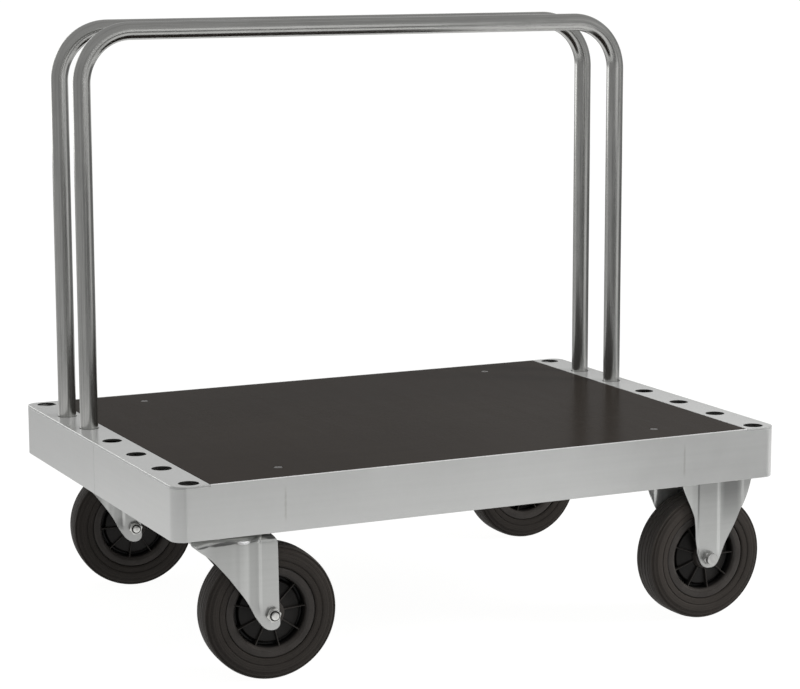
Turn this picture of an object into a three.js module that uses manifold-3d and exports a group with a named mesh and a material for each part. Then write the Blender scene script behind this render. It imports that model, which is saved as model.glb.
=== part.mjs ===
// Sheet goods cart: a steel platform frame with a flush deck board, two rows of
// sockets along its ends, two plug-in tube hoops, two swivel castors and two
// fixed castors.
//
// Units are millimetres. The origin is on the floor under the middle of the
// platform. +X runs along the length, towards the fixed castors, +Y across the
// depth, from the open loading side towards the hoops, and +Z is up.

import * as THREE from 'three';
import { mergeVertices } from 'three/addons/utils/BufferGeometryUtils.js';
import Module from 'manifold-3d';

const wasm = await Module();
wasm.setup();

// ---------------------------------------------------------------- dimensions
const GAP = 0.3;                 // clearance between pieces that touch

const LENGTH = 1000;             // platform, along X
const DEPTH = 700;               // platform, along Y
const DECK_Z = 305;              // loading surface above the floor
const SKIRT_H = 80;              // height of the frame's outer wall
const SHEET_T = 2.5;             // frame sheet
const CORNER_R = 20;             // outer corner radius of the frame
const LEDGE_W = 25;              // inward ledge that carries the board
const LEDGE_T = 3;

const STRIP_W = 54.5;            // perforated end strip
const STRIP_T = 3;
const SOCKET_COUNT = 7;          // sockets in each end
const SOCKET_PITCH = 109.4;
const SOCKET_INSET = 30;         // socket centre from the end of the frame
const SOCKET_R = 15;
const SOCKET_FLOOR_Z = 228;      // underside of the floor that the legs stand on
const GUIDE_Z = 258;             // underside of the lower guide flange
const CHANNEL_T = 2.5;
const CHANNEL_OUT = 489.5;       // outer edge of the socket channel's flanges
const CHANNEL_IN = 447;          // inner face of the socket channel's web

const BOARD_T = 11.7;
const BOARD_GAP = 0.5;

const HOOP_TUBE_R = 14;          // 28 mm tube
const HOOP_WALL = 2;
const HOOP_TOP_Z = 919;          // centre line of the top bar
const HOOP_BEND_R = 80;          // centre line of the bends
const HOOP_FOOT_Z = SOCKET_FLOOR_Z + CHANNEL_T + 0.5;
const HOOP_SOCKETS = [4, 5];     // sockets in use, counted from the loading side

const CASTOR_X = 394;            // centres of the castor plates
const CASTOR_Y = 294;
const CASTOR_H = 235;            // top of the castor plates
const PLATE_T = 5;
const PLATE_HX = 52;             // half sizes of a castor plate
const PLATE_HY = 50.5;
const PLATE_R = 6;
const BOLT_X = 38;               // half spacing of the plate bolts
const BOLT_Y = 41.5;

const CROSS_T = 3;               // crossmember sheet
const CROSS_IN = 334;            // inner wall of the crossmember
const CROSS_OUT = 446;           // outer wall
const CROSS_FLANGE = 300;        // edge of its top flange, which takes the deck screws
const CROSS_HALF_L = 346.9;

const SCREW_X = 316;
const SCREW_Y = 285;

const WHEEL_R = 100;             // 200 mm wheel
const TYRE_HALF_W = 24.5;
const RIM_R = 63.2;
const TRAIL = 52;                // castor trail
const SWIVEL_FRONT_DEG = -5;     // how the swivel castors stand at rest
const SWIVEL_BACK_DEG = -8;
const FORK_OUT = 31;             // outer face of a fork leg from the wheel's middle
const FORK_T = 3;
const CROWN_Z = 218;             // top of the swivel fork
const AXLE_R = 6;                // M12

const WHEEL_SEG = 32;
const RIM_SEG = 24;

// ------------------------------------------------------------------- helpers
function solid(geometry) {
  const g = geometry.clone();
  g.deleteAttribute('normal');
  g.deleteAttribute('uv');
  const m = mergeVertices(g, 1e-4);
  return new wasm.Manifold(new wasm.Mesh({
    numProp: 3,
    vertProperties: new Float32Array(m.attributes.position.array),
    triVerts: new Uint32Array(m.index.array),
  }));
}

function geometryOf(manifold) {
  const mesh = manifold.getMesh();
  const g = new THREE.BufferGeometry();
  const n = mesh.vertProperties.length / mesh.numProp;
  const pos = new Float32Array(n * 3);
  for (let i = 0; i < n; i++) {
    for (let k = 0; k < 3; k++) pos[i * 3 + k] = mesh.vertProperties[i * mesh.numProp + k];
  }
  g.setAttribute('position', new THREE.BufferAttribute(pos, 3));
  g.setIndex(new THREE.BufferAttribute(new Uint32Array(mesh.triVerts), 1));
  g.computeVertexNormals();
  return g;
}

const cut = (a, ...bs) => bs.reduce((m, b) => m.subtract(b), a);
const join = (a, ...bs) => bs.reduce((m, b) => m.add(b), a);

function boxGeo(x0, x1, y0, y1, z0, z1) {
  const g = new THREE.BoxGeometry(x1 - x0, y1 - y0, z1 - z0);
  g.translate((x0 + x1) / 2, (y0 + y1) / 2, (z0 + z1) / 2);
  return g;
}
const box = (...a) => solid(boxGeo(...a));

// upright round or hexagonal bar
function barZ(r, x, y, z0, z1, seg = 16, turn = 0) {
  const g = new THREE.CylinderGeometry(r, r, z1 - z0, seg);
  g.rotateX(Math.PI / 2);
  g.rotateZ(turn);
  g.translate(x, y, (z0 + z1) / 2);
  return g;
}

// the same lying along Y
function barY(r, x, z, y0, y1, seg = 16, turn = 0) {
  const g = new THREE.CylinderGeometry(r, r, y1 - y0, seg);
  g.rotateY(turn);
  g.translate(x, (y0 + y1) / 2, z);
  return g;
}

function shapeOf(points) {
  return new THREE.Shape(points.map(([a, b]) => new THREE.Vector2(a, b)));
}

function arc(cx, cy, r, a0, a1, n) {
  const out = [];
  for (let i = 0; i <= n; i++) {
    const a = THREE.MathUtils.degToRad(a0 + (a1 - a0) * i / n);
    out.push([cx + r * Math.cos(a), cy + r * Math.sin(a)]);
  }
  return out;
}

// plan outline, extruded upwards
function prismZ(points, z0, z1) {
  const g = new THREE.ExtrudeGeometry(shapeOf(points), { depth: z1 - z0, bevelEnabled: false });
  g.translate(0, 0, z0);
  return g;
}

// outline in X and Z, extruded along Y
function prismY(points, y0, y1) {
  const g = new THREE.ExtrudeGeometry(shapeOf(points), { depth: y1 - y0, bevelEnabled: false });
  g.rotateX(Math.PI / 2);
  g.translate(0, y1, 0);
  return g;
}

// outline in Y and Z, extruded along X
function prismX(points, x0, x1) {
  const g = new THREE.ExtrudeGeometry(shapeOf(points), { depth: x1 - x0, bevelEnabled: false });
  g.rotateX(Math.PI / 2);
  g.rotateZ(Math.PI / 2);
  g.translate(x0, 0, 0);
  return g;
}

// turned piece about Y: points are [radius, y]
function turnedY(points, seg, phase = 0) {
  const g = new THREE.LatheGeometry(points.map(([r, y]) => new THREE.Vector2(r, y)), seg);
  g.rotateY(phase);
  return g;
}

// turned piece about Z: points are [radius, z]
function turnedZ(points, seg) {
  const g = new THREE.LatheGeometry(points.map(([r, z]) => new THREE.Vector2(r, z)), seg);
  g.rotateX(Math.PI / 2);
  return g;
}

const cart = new THREE.Group();

function paint(color, roughness, metalness) {
  return () => new THREE.MeshStandardMaterial({ color, roughness, metalness });
}
const ZINC_SHEET = paint(0xb4b5b2, 0.48, 0.7);
const ZINC_TUBE = paint(0x8d8e8c, 0.36, 0.9);
const ZINC_FORK = paint(0xa9aba8, 0.4, 0.85);
const FASTENER = paint(0x9c9d9a, 0.35, 0.9);
const DECK_FILM = paint(0x3d3935, 0.45, 0.0);
const RUBBER = paint(0x33302d, 0.75, 0.0);
const RIM_PLASTIC = paint(0x1d1c1b, 0.5, 0.0);

function piece(parent, name, geometry, material) {
  const mesh = new THREE.Mesh(geometry, material());
  mesh.name = name;
  parent.add(mesh);
  return mesh;
}

// ------------------------------------------------------------ platform frame
const hx = LENGTH / 2;
const hy = DEPTH / 2;
const skirtZ = DECK_Z - SKIRT_H;
const stripIn = hx - STRIP_W;
const ledgeTop = DECK_Z - BOARD_T - GAP;
const socketY = (i) => (i - (SOCKET_COUNT - 1) / 2) * SOCKET_PITCH;
const socketX = hx - SOCKET_INSET;

// Each half is a bent sheet: one long wall, two rounded corners and half of each
// end wall. The halves meet in the middle of the ends. A ledge inside the long
// wall carries the board.
function frameHalf(side) {
  const ri = CORNER_R - SHEET_T;
  const cx = hx - CORNER_R;
  const cy = hy - CORNER_R;
  const seam = GAP / 2;
  const outer = [
    [-hx, -seam],
    ...arc(-cx, -cy, CORNER_R, 180, 270, 6),
    ...arc(cx, -cy, CORNER_R, 270, 360, 6),
    [hx, -seam],
  ];
  const inner = [
    [hx - SHEET_T, -seam],
    ...arc(cx, -cy, ri, 360, 270, 6),
    ...arc(-cx, -cy, ri, 270, 180, 6),
    [-hx + SHEET_T, -seam],
  ];
  let m = solid(prismZ([...outer, ...inner], skirtZ, DECK_Z));
  const low = DECK_Z - STRIP_T - GAP;
  m = cut(m,
    box(-hx - 5, -stripIn + GAP, -hy - 5, 5, low, DECK_Z + 5),
    box(stripIn - GAP, hx + 5, -hy - 5, 5, low, DECK_Z + 5));
  m = join(m, box(-440, 440, -hy + SHEET_T - 0.2, -hy + SHEET_T + LEDGE_W, ledgeTop - LEDGE_T, ledgeTop));
  const g = geometryOf(m);
  if (side > 0) g.rotateZ(Math.PI);
  return g;
}
piece(cart, 'frame_half_front', frameHalf(-1), ZINC_SHEET);
piece(cart, 'frame_half_back', frameHalf(1), ZINC_SHEET);

// flat end strip with the socket holes
function endStrip(side) {
  const cx = hx - CORNER_R;
  const cy = hy - CORNER_R;
  const points = [
    [stripIn, -hy],
    ...arc(cx, -cy, CORNER_R, 270, 360, 6),
    ...arc(cx, cy, CORNER_R, 0, 90, 6),
    [stripIn, hy],
  ];
  const shape = shapeOf(points);
  for (let i = 0; i < SOCKET_COUNT; i++) {
    shape.holes.push(new THREE.Path(
      arc(socketX, socketY(i), SOCKET_R, 0, -337.5, 15).map(([a, b]) => new THREE.Vector2(a, b))));
  }
  const g = new THREE.ExtrudeGeometry(shape, { depth: STRIP_T, bevelEnabled: false });
  g.translate(0, 0, DECK_Z - STRIP_T);
  if (side < 0) g.rotateZ(Math.PI);
  return g;
}
piece(cart, 'end_strip_left', endStrip(-1), ZINC_SHEET);
piece(cart, 'end_strip_right', endStrip(1), ZINC_SHEET);

// welded channel under an end strip: two upright walls, closed ends, a guide
// shelf with the lower row of holes, and a floor for the hoop legs to stand on
function socketChannel(side) {
  const half = 343;
  const top = DECK_Z - STRIP_T - GAP;
  const web = box(CHANNEL_IN, CHANNEL_IN + CHANNEL_T, -half, half, SOCKET_FLOOR_Z, top);
  const outer = box(CHANNEL_OUT - CHANNEL_T, CHANNEL_OUT, -half, half, SOCKET_FLOOR_Z, top);
  const floor = box(CHANNEL_IN, CHANNEL_OUT, -half, half, SOCKET_FLOOR_Z, SOCKET_FLOOR_Z + CHANNEL_T);
  let guide = box(CHANNEL_IN, CHANNEL_OUT, -half, half, GUIDE_Z, GUIDE_Z + CHANNEL_T);
  for (let i = 0; i < SOCKET_COUNT; i++) {
    guide = cut(guide, solid(barZ(SOCKET_R, socketX, socketY(i), GUIDE_Z - 2, GUIDE_Z + 6, 16)));
  }
  const capFront = box(CHANNEL_IN, CHANNEL_OUT - 1.8, -half - CHANNEL_T, -half, SOCKET_FLOOR_Z, top);
  const capBack = box(CHANNEL_IN, CHANNEL_OUT - 1.8, half, half + CHANNEL_T, SOCKET_FLOOR_Z, top);
  const g = geometryOf(join(web, outer, floor, guide, capFront, capBack));
  if (side < 0) g.rotateZ(Math.PI);
  return g;
}
piece(cart, 'socket_channel_left', socketChannel(-1), ZINC_SHEET);
piece(cart, 'socket_channel_right', socketChannel(1), ZINC_SHEET);

// crossmember over a pair of castors: a pressed channel, open at the top, with
// an inward flange for the deck screws, and tapped holes for the castor bolts
function crossmember(side) {
  const z0 = CASTOR_H + GAP;
  const z1 = ledgeTop - 0.3;
  const profile = [
    [CROSS_IN, z0], [CROSS_OUT, z0], [CROSS_OUT, z1], [CROSS_OUT - CROSS_T, z1],
    [CROSS_OUT - CROSS_T, z0 + CROSS_T], [CROSS_IN + CROSS_T, z0 + CROSS_T],
    [CROSS_IN + CROSS_T, z1], [CROSS_FLANGE, z1], [CROSS_FLANGE, z1 - CROSS_T],
    [CROSS_IN, z1 - CROSS_T],
  ];
  let m = solid(prismY(profile, -CROSS_HALF_L, CROSS_HALF_L));
  const notchY = hy - SHEET_T - LEDGE_W - 0.4;
  const notchZ = ledgeTop - LEDGE_T - 0.3;
  m = cut(m,
    box(CROSS_FLANGE - 5, CROSS_OUT + 5, notchY, hy, notchZ, DECK_Z),
    box(CROSS_FLANGE - 5, CROSS_OUT + 5, -hy, -notchY, notchZ, DECK_Z));
  for (const y of [-CASTOR_Y, CASTOR_Y]) {
    for (const sx of [-1, 1]) {
      for (const sy of [-1, 1]) {
        const bx = CASTOR_X + sx * BOLT_X;
        const by = y + sy * BOLT_Y;
        m = cut(m, solid(barZ(5.6, bx, by, z0 - 3, z0 + 20, 10)));
      }
    }
  }
  for (const sy of [-1, 1]) {
    m = cut(m, solid(barZ(2.95, SCREW_X, sy * SCREW_Y, z1 - 10, z1 + 5, 8)));
  }
  const g = geometryOf(m);
  if (side < 0) g.rotateZ(Math.PI);
  return g;
}
piece(cart, 'crossmember_left', crossmember(-1), ZINC_SHEET);
piece(cart, 'crossmember_right', crossmember(1), ZINC_SHEET);

// -------------------------------------------------------- deck board, screws
function screwGeo(grow) {
  const z = DECK_Z - 0.2;
  return turnedZ([
    [0, 281 - grow * 40], [2.55 + grow, 281 - grow * 40], [2.55 + grow, z - 3.9 - grow],
    [6.4 + grow, z - 0.4 - grow], [6.4 + grow, z + grow * 2], [0, z + grow * 2],
  ], 12);
}
function deckBoard() {
  const ex = stripIn - 0.4;
  const ey = hy - SHEET_T - BOARD_GAP;
  let m = box(-ex, ex, -ey, ey, DECK_Z - BOARD_T, DECK_Z);
  for (const sx of [-1, 1]) {
    for (const sy of [-1, 1]) {
      const g = screwGeo(0.35);
      g.translate(sx * SCREW_X, sy * SCREW_Y, 0);
      m = cut(m, solid(g));
    }
  }
  return geometryOf(m);
}
piece(cart, 'deck_board', deckBoard(), DECK_FILM);
for (const [tag, sx, sy] of [['fl', -1, -1], ['fr', 1, -1], ['bl', -1, 1], ['br', 1, 1]]) {
  const screw = piece(cart, `deck_screw_${tag}`, screwGeo(0), FASTENER);
  screw.position.set(sx * SCREW_X, sy * SCREW_Y, 0);
}

// --------------------------------------------------------------------- hoops
// centre line with its own stations, close together only in the bends
class StationPath extends THREE.Curve {
  constructor(stations) {
    super();
    this.stations = stations;
  }
  getPointAt(u, target = new THREE.Vector3()) {
    const i = Math.round(u * (this.stations.length - 1));
    return target.copy(this.stations[i].p);
  }
  getPoint(u, target) {
    return this.getPointAt(u, target);
  }
  getTangentAt(u, target = new THREE.Vector3()) {
    const i = Math.round(u * (this.stations.length - 1));
    return target.copy(this.stations[i].t);
  }
  getTangent(u, target) {
    return this.getTangentAt(u, target);
  }
}

function hoopGeo() {
  const st = [];
  const add = (x, z, tx, tz) => st.push({ p: new THREE.Vector3(x, 0, z), t: new THREE.Vector3(tx, 0, tz) });
  const n = 6;
  const cx = socketX - HOOP_BEND_R;
  const cz = HOOP_TOP_Z - HOOP_BEND_R;
  add(-socketX, HOOP_FOOT_Z, 0, 1);
  for (let i = 0; i <= n; i++) {
    const a = Math.PI - i / n * Math.PI / 2;
    add(-cx + HOOP_BEND_R * Math.cos(a), cz + HOOP_BEND_R * Math.sin(a), Math.sin(a), -Math.cos(a));
  }
  for (let i = 0; i <= n; i++) {
    const a = Math.PI / 2 - i / n * Math.PI / 2;
    add(cx + HOOP_BEND_R * Math.cos(a), cz + HOOP_BEND_R * Math.sin(a), Math.sin(a), -Math.cos(a));
  }
  add(socketX, HOOP_FOOT_Z, 0, -1);
  const shape = shapeOf(arc(0, 0, HOOP_TUBE_R, 0, 334.2857142857, 13));
  shape.holes.push(new THREE.Path(
    arc(0, 0, HOOP_TUBE_R - HOOP_WALL, 0, -334.2857142857, 13).map(([a, b]) => new THREE.Vector2(a, b))));
  return new THREE.ExtrudeGeometry(shape, {
    steps: st.length - 1, bevelEnabled: false, extrudePath: new StationPath(st),
  });
}
['hoop_front', 'hoop_back'].forEach((name, i) => {
  piece(cart, name, hoopGeo(), ZINC_TUBE).position.y = socketY(HOOP_SOCKETS[i]);
});

// -------------------------------------------------------------------- wheels
// the tyre stands on a flat of its outline, with its tread WHEEL_R from the axle
function tyreGeo() {
  const k = 1 / Math.cos(Math.PI / WHEEL_SEG);
  const w = TYRE_HALF_W;
  const r0 = RIM_R + GAP + 0.4;
  return turnedY([
    [r0, -w + 3], [86, -w], [96.5 * k, -w + 2.9], [WHEEL_R * k, -w + 8],
    [WHEEL_R * k, w - 8], [96.5 * k, w - 2.9], [86, w], [r0, w - 3], [r0, -w + 3],
  ], WHEEL_SEG, Math.PI / WHEEL_SEG);
}
function rimGeo() {
  return turnedY([
    [9.7, -26.5], [19, -26.5], [21, -5], [51, -4], [54.5, -20], [RIM_R, -20],
    [RIM_R, 20], [54.5, 20], [51, 4], [21, 5], [19, 26.5], [9.7, 26.5], [9.7, -26.5],
  ], RIM_SEG);
}
function sleeveGeo() {
  const l = FORK_OUT - FORK_T - GAP;
  return turnedY([[6.6, -l], [9, -l], [9, l], [6.6, l], [6.6, -l]], 12);
}
function nutGeo() {
  const g = cut(
    solid(barY(9.5 / Math.cos(Math.PI / 6), 0, 0, -10, 0, 6)),
    solid(barY(AXLE_R + 0.45, 0, 0, -14, 4, 12)));
  return geometryOf(g);
}
// hexagon head at the far side, threaded end standing out of the nut
function axleGeo() {
  return geometryOf(join(
    solid(barY(AXLE_R, 0, 0, -FORK_OUT - 14, FORK_OUT + 1, 12)),
    solid(barY(9.5 / Math.cos(Math.PI / 6), 0, 0, FORK_OUT + GAP, FORK_OUT + 8, 6))));
}

// ------------------------------------------------------------------- castors
// outline of a swivel fork seen from the side, with the swivel axis at u = 0
const SWIVEL_OUTLINE = [
  [62.2, 103], [62.9, 94.6], [63.2, 86.5], [62.4, 82.5], [60.5, 79.4], [57.5, 77.2], [52.4, 76], [48.9, 76],
  [44.6, 77.1], [39.8, 79.7], [35.7, 83.4], [32.4, 87.6], [27, 96], [16.6, 116.7], [-5.8, 149], [-25, 173],
  [-40, 189.4], [-54.6, 200.2], [-61, 207.5], [-64, 220], [51, 220], [60.5, 209],
].reverse();
const FIXED_OUTLINE = [
  [0, 83], [6.3, 83], [10.9, 84.2], [14.4, 86.4], [17.4, 90.2], [19.4, 94], [29, 115], [39.7, 133.5], [48.5, 147],
  [61.2, 172], [72.6, 197], [77.4, 213], [79.2, 222.5], [60, 226.4], [51.5, 227.2], [51.5, 240], [-50, 240], [-46.5, 217], [-39, 197],
  [-31.4, 180], [-26, 164], [-24.4, 148], [-23.6, 132], [-21, 116], [-16.4, 99], [-13.4, 92], [-10.4, 87.8], [-6.2, 84.7],
];

// folded sheet: two legs and a crown with sloping shoulders
function forkSection(top, shoulder) {
  const o = FORK_OUT;
  const t = FORK_T;
  const s = shoulder;
  return [
    [-o, 60], [-o + t, 60], [-o + t, top - s - 0.8], [-o + t + s * 0.34, top - s * 0.4 - 1.4], [-o + s, top - t],
    [o - s, top - t], [o - t - s * 0.34, top - s * 0.4 - 1.4], [o - t, top - s - 0.8], [o - t, 60], [o, 60],
    [o, top - s], [o - s * 0.32, top - s * 0.36], [o - s, top], [-o + s, top], [-o + s * 0.32, top - s * 0.36], [-o, top - s],
  ];
}

function swivelForkGeo() {
  let m = solid(prismX(forkSection(CROWN_Z, 12), -70, 70));
  m = m.intersect(solid(prismY(SWIVEL_OUTLINE, -40, 40)));
  m = cut(m,
    solid(barZ(8.8, 0, 0, CROWN_Z - 10, CROWN_Z + 5, 12)),
    solid(barY(AXLE_R + 0.6, TRAIL, WHEEL_R, -40, 40, 12)));
  return geometryOf(m);
}

function plateShape() {
  const px = PLATE_HX - PLATE_R;
  const py = PLATE_HY - PLATE_R;
  const shape = shapeOf([
    ...arc(px, -py, PLATE_R, 270, 360, 3), ...arc(px, py, PLATE_R, 0, 90, 3),
    ...arc(-px, py, PLATE_R, 90, 180, 3), ...arc(-px, -py, PLATE_R, 180, 270, 3),
  ]);
  for (const sx of [-1, 1]) {
    for (const sy of [-1, 1]) {
      shape.holes.push(new THREE.Path(
        arc(sx * BOLT_X, sy * BOLT_Y, 5.6, 0, -324, 9).map(([a, b]) => new THREE.Vector2(a, b))));
    }
  }
  return shape;
}
function plateGeo() {
  const g = new THREE.ExtrudeGeometry(plateShape(), { depth: PLATE_T, bevelEnabled: false });
  g.translate(0, 0, CASTOR_H - PLATE_T);
  return g;
}

// top plate with its pressed upper race and the riveted kingpin
function swivelPlateGeo() {
  const z = CASTOR_H - PLATE_T;
  const race = turnedZ([[0, z - 8], [28, z - 8], [34, z + 0.3], [0, z + 0.3]], 16);
  const pin = turnedZ([
    [0, CROWN_Z - 11], [7, CROWN_Z - 10.5], [11.5, CROWN_Z - 7.5], [11.5, CROWN_Z - 3.4], [8, CROWN_Z - 3.4], [8, z], [0, z],
  ], 12);
  return geometryOf(join(solid(plateGeo()), solid(race), solid(pin)));
}
function raceGeo() {
  return turnedZ([
    [12, CROWN_Z + GAP], [29, CROWN_Z + GAP], [31, CROWN_Z + 1.8], [29, CROWN_Z + 3.7], [12, CROWN_Z + 3.7], [12, CROWN_Z + GAP],
  ], 16);
}
// both legs of a fixed fork are the same pressing, the far one turned half round
function fixedForkGeo() {
  const turned = FIXED_OUTLINE.map(([u, z]) => [-u, z]).reverse();
  let m = solid(prismX(forkSection(CASTOR_H - 0.5, 6), -85, 85));
  m = m.intersect(join(solid(prismY(FIXED_OUTLINE, -40, 0)), solid(prismY(turned, 0, 40))));
  m = m.intersect(box(-PLATE_HX - 40, PLATE_HX + 40, -60, 60, 0, CASTOR_H - 1));
  m = join(m, solid(plateGeo()));
  m = cut(m, solid(barY(AXLE_R + 0.6, 0, WHEEL_R, -40, 40, 12)));
  return geometryOf(m);
}
function castorBoltGeo() {
  const z = CASTOR_H - PLATE_T - GAP;
  return geometryOf(join(
    solid(barZ(8 / Math.cos(Math.PI / 6), 0, 0, z - 6.4, z, 6)),
    solid(barZ(5, 0, 0, z - 1, z + 18, 10))));
}

function wheelSet(group, tag, offset) {
  const set = new THREE.Group();
  group.add(set);
  piece(set, `tyre_${tag}`, tyreGeo(), RUBBER);
  piece(set, `rim_${tag}`, rimGeo(), RIM_PLASTIC);
  piece(set, `axle_sleeve_${tag}`, sleeveGeo(), FASTENER);
  piece(set, `axle_bolt_${tag}`, axleGeo(), FASTENER);
  piece(set, `axle_nut_${tag}`, nutGeo(), FASTENER).position.y = -FORK_OUT - GAP;
  set.position.set(offset, 0, WHEEL_R);
}

function castorBolts(group, tag) {
  let n = 1;
  for (const sx of [-1, 1]) {
    for (const sy of [-1, 1]) {
      piece(group, `castor_bolt_${tag}_${n}`, castorBoltGeo(), FASTENER).position.set(sx * BOLT_X, sy * BOLT_Y, 0);
      n += 1;
    }
  }
}

for (const [name, tag, sy, deg] of [['front', 'fl', -1, SWIVEL_FRONT_DEG], ['back', 'bl', 1, SWIVEL_BACK_DEG]]) {
  const castor = new THREE.Group();
  castor.position.set(-CASTOR_X, sy * CASTOR_Y, 0);
  cart.add(castor);
  piece(castor, `swivel_plate_${name}`, swivelPlateGeo(), ZINC_FORK);
  castorBolts(castor, tag);
  const turning = new THREE.Group();
  turning.rotation.z = THREE.MathUtils.degToRad(deg);
  castor.add(turning);
  piece(turning, `ball_race_${name}`, raceGeo(), FASTENER);
  piece(turning, `swivel_fork_${name}`, swivelForkGeo(), ZINC_FORK);
  wheelSet(turning, tag, TRAIL);
}

for (const [name, tag, sy] of [['front', 'fr', -1], ['back', 'br', 1]]) {
  const castor = new THREE.Group();
  castor.position.set(CASTOR_X, sy * CASTOR_Y, 0);
  cart.add(castor);
  piece(castor, `fixed_fork_${name}`, fixedForkGeo(), ZINC_FORK);
  castorBolts(castor, tag);
  wheelSet(castor, tag, 0);
}

export default cart;
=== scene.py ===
import math

import bmesh
import bpy
import numpy as np
from mathutils import Matrix, Vector


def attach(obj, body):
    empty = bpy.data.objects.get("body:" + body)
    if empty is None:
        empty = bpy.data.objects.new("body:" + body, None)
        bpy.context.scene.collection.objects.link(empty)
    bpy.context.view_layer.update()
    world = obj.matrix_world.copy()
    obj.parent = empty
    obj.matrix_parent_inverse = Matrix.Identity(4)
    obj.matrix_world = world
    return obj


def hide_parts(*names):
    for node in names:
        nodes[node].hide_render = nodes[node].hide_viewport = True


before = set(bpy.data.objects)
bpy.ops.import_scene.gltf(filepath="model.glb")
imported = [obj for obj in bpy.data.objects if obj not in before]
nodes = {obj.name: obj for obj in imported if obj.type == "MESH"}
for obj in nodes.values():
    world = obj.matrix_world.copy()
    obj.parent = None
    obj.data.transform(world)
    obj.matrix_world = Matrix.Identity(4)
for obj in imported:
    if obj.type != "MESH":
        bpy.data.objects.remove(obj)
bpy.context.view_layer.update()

scene = bpy.context.scene
MM = 0.001

# --------------------------------------------------------------- dimensions, mm
HX, HY = 500.0, 350.0            # half length and half depth of the platform
DECK_Z, SKIRT_Z = 305.0, 225.0   # deck and lower edge of the frame
CORNER_R = 20.0
SHEET_T = 2.5
STRIP_IN = 445.5                 # inner edge of the end strips
SOCKET_X, SOCKET_PITCH, SOCKET_R = 470.0, 109.4, 15.0
TUBE_R, TUBE_WALL = 14.0, 2.0
HOOP_TOP, HOOP_BEND, HOOP_FOOT = 918.6, 80.0, 231.0
CASTOR_X, CASTOR_Y, CASTOR_H = 394.0, 294.0, 235.0
TRAIL, WHEEL_R = 52.0, 100.0
FORK_OUT, FORK_T, CROWN_Z = 31.0, 3.0, 218.0
SWIVEL_DEG = {"front": -5.0, "back": -8.0}


# ---------------------------------------------------------------- node helpers
def nd(tree, kind, ins=None, **props):
    n = tree.nodes.new(kind)
    for k, v in props.items():
        setattr(n, k, v)
    for k, v in (ins or {}).items():
        s = n.inputs[k]
        if isinstance(v, bpy.types.NodeSocket):
            tree.links.new(v, s)
        else:
            s.default_value = v
    return n


def math_node(tree, op, a, b=None, c=None, clamp=False):
    ins = {0: a}
    if b is not None:
        ins[1] = b
    if c is not None:
        ins[2] = c
    return nd(tree, "ShaderNodeMath", ins, operation=op, use_clamp=clamp).outputs[0]


def remap(tree, value, f0, f1, t0=0.0, t1=1.0, smooth=False):
    return nd(tree, "ShaderNodeMapRange",
              {"Value": value, "From Min": f0, "From Max": f1, "To Min": t0, "To Max": t1},
              interpolation_type="SMOOTHSTEP" if smooth else "LINEAR").outputs[0]


def blend_rgb(tree, fac, a, b, mode="MIX"):
    n = nd(tree, "ShaderNodeMix", {0: fac}, data_type="RGBA", blend_type=mode)
    for i, v in ((6, a), (7, b)):
        if isinstance(v, bpy.types.NodeSocket):
            tree.links.new(v, n.inputs[i])
        else:
            n.inputs[i].default_value = (*v, 1.0)
    return n.outputs[2]


def noise(tree, vec, scale, detail=3.0, rough=0.55, dims="3D", distortion=0.0):
    ins = {"Scale": scale, "Detail": detail, "Roughness": rough, "Distortion": distortion}
    if dims == "1D":
        ins["W"] = vec
    else:
        ins["Vector"] = vec
    return nd(tree, "ShaderNodeTexNoise", ins, noise_dimensions=dims).outputs[0]


def stretch(tree, vec, scale):
    return nd(tree, "ShaderNodeMapping", {"Vector": vec, "Scale": scale}).outputs[0]


def new_material(name):
    m = bpy.data.materials.new(name)
    m.use_nodes = True
    t = m.node_tree
    t.nodes.clear()
    out = nd(t, "ShaderNodeOutputMaterial")
    bsdf = nd(t, "ShaderNodeBsdfPrincipled")
    t.links.new(bsdf.outputs[0], out.inputs[0])
    return m, t, bsdf


def bump(tree, bsdf, height, strength, distance, after=None):
    ins = {"Height": height, "Strength": strength, "Distance": distance}
    if after is not None:
        ins["Normal"] = after
    b = nd(tree, "ShaderNodeBump", ins)
    tree.links.new(b.outputs[0], bsdf.inputs["Normal"])
    return b.outputs[0]


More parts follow.
